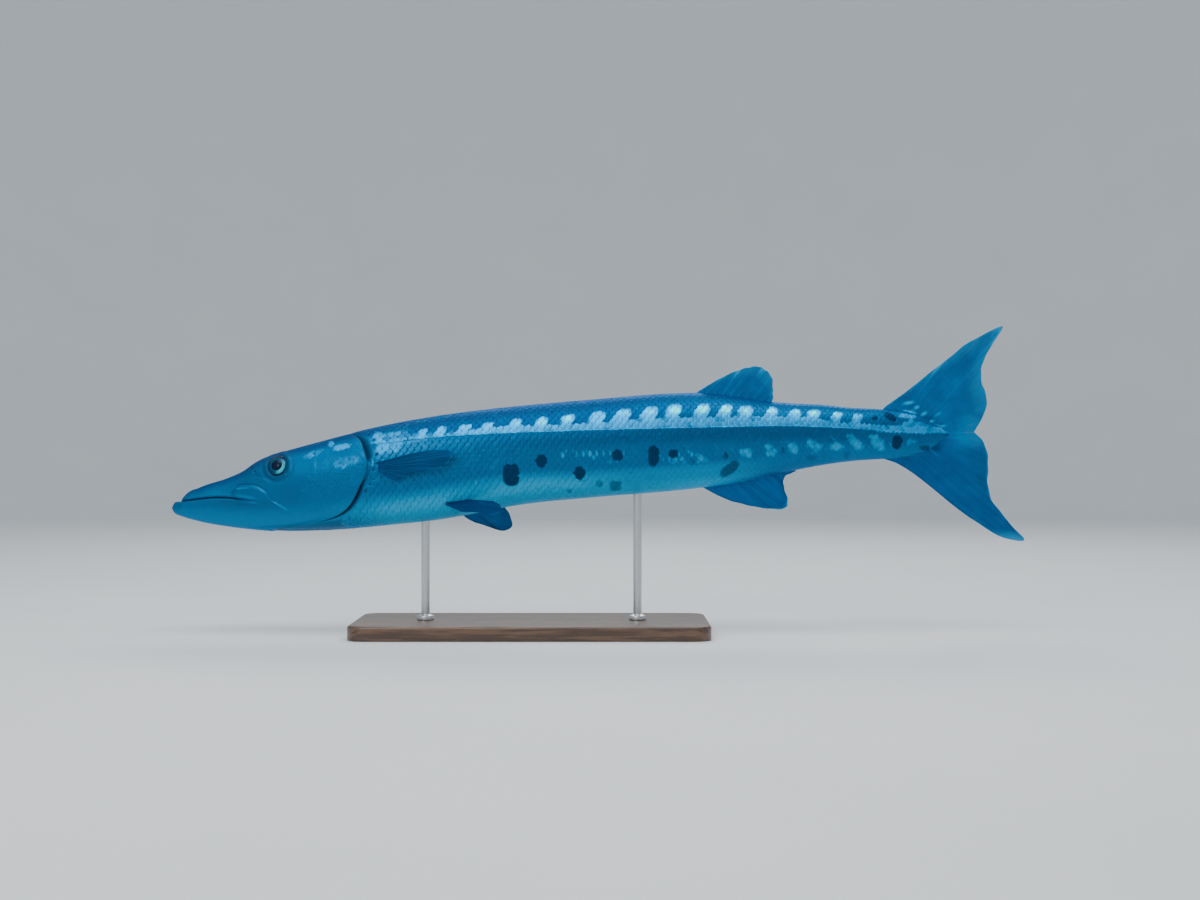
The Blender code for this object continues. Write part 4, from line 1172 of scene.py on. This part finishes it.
def cast_fin(
    name, outline, rays, rows, place, pale=None, shadows=None, membrane=(0.95, 0.16),
    ray_rise=(0.36, 0.08), slack=0.9, darker=0.0, rim_pale=0.5,
):
    """A fin as a thin sheet between its root's line and its margin. Each ray is a ridge that
    forks twice on its way out, the membrane swells at the root and sags a little between the
    rays, and the margin is cut back between them. Membrane and ray_rise are half thicknesses at
    the root and at the margin, and pale and shadows are functions that paint places on it."""
    shares = np.linspace(0, 1, rays * COLUMNS_PER_RAY + 1)
    root, margin = (
        np.stack([smooth([(p[0], p[k]) for p in line], shares) for k in (1, 2)], -1) for line in outline
    )
    ray_length = np.hypot(*(margin - root).T)
    phase = shares * rays
    ragged = np.interp(phase, np.arange(rays + 1), fin_random.normal(0, 1, rays + 1))
    cut_back = (0.55 * np.cos(2 * math.pi * phase) + 0.55 + 0.5 * ragged) / ray_length
    free = between(shares, 0.0, 0.04, 0.97, 1)
    out = np.linspace(0, 1, rows)[:, None] ** 0.9 * (1 - cut_back * free)
    grid = root + (margin - root) * out[..., None]
    beside = phase % 1 - 0.5
    fork = 0.23 * ease(out, 0.28, 0.8)
    twig = 0.105 * ease(out, 0.6, 1.0)
    width = 0.13 - 0.055 * out
    ridge = np.zeros_like(out + shares)
    for first in (-1, 1):
        for second in (-1, 1):
            ridge = np.maximum(ridge, bump(beside - first * fork - second * twig, width))
    run = out * ray_length
    swell = 2.4 * np.exp(-np.maximum(run - 6, 0) / 6.5)
    at_root, at_margin = ray_rise
    ray_height = np.interp(out, (0, 0.75, 1), (at_root, 0.6 * at_margin + 0.4 * at_root, at_margin))
    rounded = 0.1 + 0.9 * np.sqrt(1 - (1 - np.clip(run / 6, 0, 1)) ** 2)
    half = (np.interp(out, (0, 1), membrane) + swell + ridge * ray_height) * rounded
    sag = np.sin(phase * 2.1 + out * 3) + 0.5 * np.sin(phase * 4.7 + 1)
    wave = slack * out**2 * between(shares, 0, 0.14, 0.86, 1) * sag
    points = np.concatenate([place(grid, off).reshape(-1, 3) for off in (wave + half, wave - half)])
    pale_now = ease(out, 0.93, 1.0) * rim_pale
    if pale:
        pale_now = np.maximum(pale_now, pale(grid[..., 0], grid[..., 1], out))
    dusk = darker + (1 - ease(run, 4, 26)) * 0.4 + 0.3 * ease(out, 0.75, 0.95) * (1 - pale_now)
    dusk = dusk * (0.3 + 0.7 * ease(run, 2, 16))
    if shadows:
        dusk = 0.6 * dusk + shadows(grid[..., 0], grid[..., 1])
    shown = {
        "pale": pale_now,
        "thin": pale_now * (1 - 0.6 * ridge) * ease(out, 0.55, 0.8),
        "ray": ridge,
        "run": run,
        "dusk": np.minimum(dusk, 1) * (1 - pale_now),
    }
    both_faces = {word: np.broadcast_to(values, (2, *ridge.shape)) for word, values in shown.items()}
    piece = new_piece(name, points, slab_faces(rows, len(shares)), fin_paint, **both_faces)
    face_out(piece)
    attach(piece, "root")
    return piece


# Pale and bright places on the tail: length, height, half sizes, lean, strength
TAIL_MARKS = (
    (1046, 29, 13, 4.5, -4, 0.75), (1047, 43.5, 10, 3, 8, 0.7), (1059, 37, 5, 3, 30, 0.7),
    (1069, 28, 6, 3, 30, 0.65), (1089, 27, 8, 2.6, 30, 0.5), (1078, 16, 8, 2.6, 20, 0.7),
    (1062, 14, 14, 8, -6, 0.4), (1080, 7, 13, 4.5, 14, 0.8), (1096, 10, 8, 2.4, 12, 0.6),
    (1105, 12, 26, 20, 0, 0.26), (1050, -12, 10, 8, 0, 0.45), (1058, -9, 14, 1.6, 0, 0.55),
    (1082, -26, 12, 1.6, -38, 0.5), (1088, -4, 14, 4, 0, 0.5),
)
TAIL_SHADOWS = ((1079, -20, 16, 6.5, -8, 0.75), (1075, 20, 16, 6, 0, 0.3))


def tail_pale(length, height, out):
    """Pale where the tail goes clear: its tips and the fork's middle, and on its base."""
    tip = ease(height, 122, 152) + ease(-height, 128, 152)
    fork = 0.42 * ease(length, 1086, 1130) * (1 - ease(np.abs(height - 4), 8, 48))
    inner = 0.2 * ease(length - 0.55 * np.abs(height), 1060, 1120)
    upper = ease(height, 8, 34) * (0.24 + 0.2 * ease(out, 0.6, 1))
    marks = strongest(length, height, TAIL_MARKS, 5)
    return np.maximum.reduce([0.55 * tip, upper, fork, inner, marks])


def tail_dusk(length, height):
    """Darker on the lower lobe and at two places on the tail's base."""
    return np.maximum(0.16 * ease(-height, 12, 40), strongest(length, height, TAIL_SHADOWS, 6))


def dorsal_pale(length, height, out):
    """A little paler all over, and more so outward."""
    return 0.22 + 0.2 * ease(out, 0.6, 1)


def anal_pale(length, height, out):
    """Pale along the margin of the rear corner."""
    return 0.55 * ease(length - 0.5 * height, 912, 928) * ease(out, 0.75, 0.95)


fin_paint = fin_skin()
for name, replaced, outline, rays, rows, pale, shadows in (
    ("second_dorsal", "dorsal_fin_second", SECOND_DORSAL, 10, 56, dorsal_pale, None),
    ("anal", "anal_fin", ANAL, 10, 56, anal_pale, None),
    ("tail_upper_lobe", "tail_fin_upper", UPPER_TAIL, 12, 74, tail_pale, tail_dusk),
    ("tail_lower_lobe", "tail_fin_lower", LOWER_TAIL, 12, 74, tail_pale, tail_dusk),
):
    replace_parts(cast_fin(name, outline, rays, rows, in_midplane, pale, shadows), replaced)
first_dorsal = cast_fin(
    "first_dorsal_folded", FIRST_DORSAL, 5, 22, in_midplane, membrane=(1.9, 1.1), ray_rise=(1.0, 0.5),
    slack=0.0, darker=0.3, rim_pale=0,
)
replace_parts(first_dorsal, "dorsal_fin_first")
for side_word, side_sign in SIDES:
    pectoral = cast_fin(
        f"pectoral_{side_word}", PECTORAL, 13, 44, on_flank(side_sign), membrane=(0.9, 0.16),
        ray_rise=(0.6, 0.12), slack=0.35, darker=1.0,
    )
    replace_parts(pectoral, f"pectoral_fin_{side_word}")
    root, margin = PELVIC
    # the near fin's greater darkness is painted shade
    drawn_in, darker = PELVIC_LOOK[side_sign]
    margin = [(share, length - drawn_in * (share > 0.5), out) for share, length, out in margin]
    pelvic = cast_fin(
        f"pelvic_{side_word}", (root, margin), 6, 44, off_belly(side_sign), darker=darker, rim_pale=0.15,
    )
    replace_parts(pelvic, f"pelvic_fin_{side_word}")

# Stand. A dark stained hardwood board with round corners and a rounded top edge, and two turned
# steel rods, each in a collar screwed to the board, that end in the fish's belly.

BOARD = (500.0, 200.0, 20.0)
BOARD_CORNER = 24.0
BOARD_ROUND = 4.0
ROD_RADIUS = 6.0
ROD_SPREAD = 150.0
COLLAR_RADIUS = 12.0
COLLAR_HEIGHT = 6.0


def stained_wood():
    """Straight grain along the board: long stretched noise for the figure, fine dark pores."""
    paint = Paint("stained_wood")
    rings = paint.noise(1.0, 4, 0.6, paint.stretch(5, 75, 75))
    pores = paint.noise(1.0, 2, 0.5, paint.stretch(45, 1500, 1500))
    figure = (rings * 26.0).sine() * 0.5 + 0.5
    colour = paint.mix(figure, (0.060, 0.030, 0.017), (0.135, 0.070, 0.037))
    colour = paint.mix(pores.ease(0.55, 0.72) * 0.7, colour, (0.025, 0.012, 0.007))
    return paint.finish(
        Base_Color=colour, Roughness=0.38 + 0.12 * (pores - 0.5), Coat_Weight=0.25, Coat_Roughness=0.2,
        Normal=paint.relief(figure * 0.3 - pores.ease(0.5, 0.8), 0.0003, 0.5),
    )


def brushed_steel():
    """Turned steel: fine rings round the rod, drawn by noise that is stretched across it."""
    paint = Paint("brushed_steel")
    rings = paint.noise(1.0, 3, 0.6, paint.stretch(60, 60, 5200))
    smudge = paint.noise(45, 3, 0.5)
    colour = paint.mix(rings, (0.50, 0.51, 0.52), (0.68, 0.68, 0.69))
    return paint.finish(
        Base_Color=colour, Metallic=1.0, Roughness=0.24 + 0.14 * rings + 0.12 * (smudge - 0.5),
        Normal=paint.relief(rings, 0.00012, 0.5),
    )


def ringed_piece(name, rings, ends, material, sharp):
    """A closed piece of rings with a pole at each end, in millimetres, whose edges of more than
    that many degrees stay sharp."""
    points = np.concatenate([rings.reshape(-1, 3), ends]) * MM
    piece = new_piece(name, points, ring_faces(*rings.shape[:2]), material)
    face_out(piece)
    piece.data.set_sharp_from_angle(angle=math.radians(sharp))
    return piece


half_length, half_breadth, thick = np.array(BOARD) / (2, 2, 1)
round_over = np.linspace(0, math.pi / 2, 9)
# Each ring's way in from the board's edge and its level, from the chamfer under it to its middle
inset = np.concatenate([[3.0, 0.8, 0, 0], BOARD_ROUND * (1 - np.cos(round_over)), [14.0, 60.0]])
level = np.concatenate([[0, 0, 0.8, 8], thick - BOARD_ROUND * (1 - np.sin(round_over)), [thick, thick]])
inset, level = inset[:, None], level[:, None]
quarter = np.linspace(0, math.pi / 2, 17)
angle = (quarter + (np.arange(4) * math.pi / 2)[:, None]).ravel()
along_sign, across_sign = np.repeat([(1, -1, -1, 1), (1, 1, -1, -1)], len(quarter), 1)
corner = np.maximum(BOARD_CORNER - inset, 1.5)
x = along_sign * (half_length - inset - corner) + corner * np.cos(angle)
y = across_sign * (half_breadth - inset - corner) + corner * np.sin(angle)
rings = np.stack(np.broadcast_arrays(x, y, level), -1)
board = ringed_piece("stand_board", rings, [(0, 0, 0), (0, 0, thick)], stained_wood(), 40)
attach(board, "root")
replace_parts(board, "stand_base")

steel = brushed_steel()
foot = thick + 0.2
lip = foot + COLLAR_HEIGHT
for name, replaced, place in (
    ("stand_front_rod", "stand_rod_front", -ROD_SPREAD),
    ("stand_rear_rod", "stand_rod_rear", ROD_SPREAD),
):
    top = AXIS_HEIGHT + float(smooth(BELLY, STAND_AT + place)) + 3
    profile = np.array([
        (4, foot), (COLLAR_RADIUS - 0.6, foot), (COLLAR_RADIUS, foot + 0.6), (COLLAR_RADIUS, lip - 0.8),
        (COLLAR_RADIUS - 0.3, lip - 0.25), (COLLAR_RADIUS - 0.9, lip), (ROD_RADIUS + 2.2, lip + 1.4),
        (ROD_RADIUS + 0.5, lip + 2.2), (ROD_RADIUS, lip + 2.4), (ROD_RADIUS, lip + 30),
        (ROD_RADIUS, top - 20), (ROD_RADIUS, top),
    ])
    middle = (place, float(smooth(SWAY, STAND_AT + place)))
    rings = turned_rings(*profile.T, 56) + (*middle, 0)
    rod = ringed_piece(name, rings, [(*middle, foot), (*middle, top)], steel, 35)
    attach(rod, "root")
    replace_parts(rod, replaced)

# Room. A round pale floor that sweeps up into a wall on every side, soft lamps, and the camera
# level with the fish, square on to its left side.

FLOOR_REACH = 4.2  # radius of the flat part
SWEEP = 2.2
WALL_TOP = 4.6
FLOOR_UNDER = 0.6  # millimetres from the board's underside down to the floor
curve = np.linspace(0, math.pi / 2, 24)[1:]
far = FLOOR_REACH + SWEEP
sweep_reach = np.concatenate([[0.8, 2.4, FLOOR_REACH], FLOOR_REACH + SWEEP * np.sin(curve), [far]])
sweep_height = np.concatenate([[0, 0, 0], SWEEP * (1 - np.cos(curve)), [WALL_TOP]]) - FLOOR_UNDER * MM
rings = turned_rings(sweep_reach, sweep_height, 96)
quads, fans = ring_faces(*rings.shape[:2])
points = np.concatenate([rings.reshape(-1, 3), [(0, 0, sweep_height[0])]])
centre_fan = fans[: rings.shape[1]]
floor_paint = Paint("pale_floor")
cloud = floor_paint.noise(3.0, 3, 0.5)
floor_colour = floor_paint.mix(cloud, (0.70, 0.72, 0.735), (0.76, 0.775, 0.785))
floor = new_piece(
    "floor", points, [quads[:, ::-1], centre_fan[:, ::-1]],
    floor_paint.finish(Base_Color=floor_colour, Roughness=0.7 + 0.1 * (cloud - 0.5)),
)


def lamp(name, place, target, size, power, colour):
    """A soft lamp: a lit rectangle that faces its target."""
    data = bpy.data.lights.new(name, "AREA")
    data.shape = "RECTANGLE"
    data.size, data.size_y = size
    data.energy = power
    data.color = colour
    obj = bpy.data.objects.new(name, data)
    bpy.context.scene.collection.objects.link(obj)
    obj.location = place
    obj.rotation_euler = (Vector(target) - Vector(place)).to_track_quat("-Z", "Y").to_euler()


FISH_MIDDLE = (0.1, 0.0, 0.26)
lamp("overhead_lamp", (0.1, -0.7, 2.3), FISH_MIDDLE, (2.6, 1.3), 40, (0.95, 0.98, 1.0))
lamp("front_lamp", (-1.3, -2.9, 1.9), FISH_MIDDLE, (1.4, 1.0), 30, (1.0, 0.99, 0.97))
lamp("rear_lamp", (0.4, 2.3, 2.2), FISH_MIDDLE, (2.2, 1.0), 30, (1.0, 1.0, 1.0))
room = bpy.data.worlds.new("soft_room")
room.use_nodes = True
backdrop = room.node_tree.nodes["Background"].inputs
backdrop["Color"].default_value = (0.80, 0.86, 0.92, 1)
backdrop["Strength"].default_value = 0.8
bpy.context.scene.world = room

lens = bpy.data.cameras.new("camera")
lens.lens = 50.0
lens.sensor_width = 36.0
lens.clip_start = 0.05
camera = bpy.data.objects.new("camera", lens)
bpy.context.scene.collection.objects.link(camera)
camera.location = (0.097, -2.3633, 0.2602)
camera.rotation_euler = (math.pi / 2, 0, 0)
bpy.context.scene.camera = camera
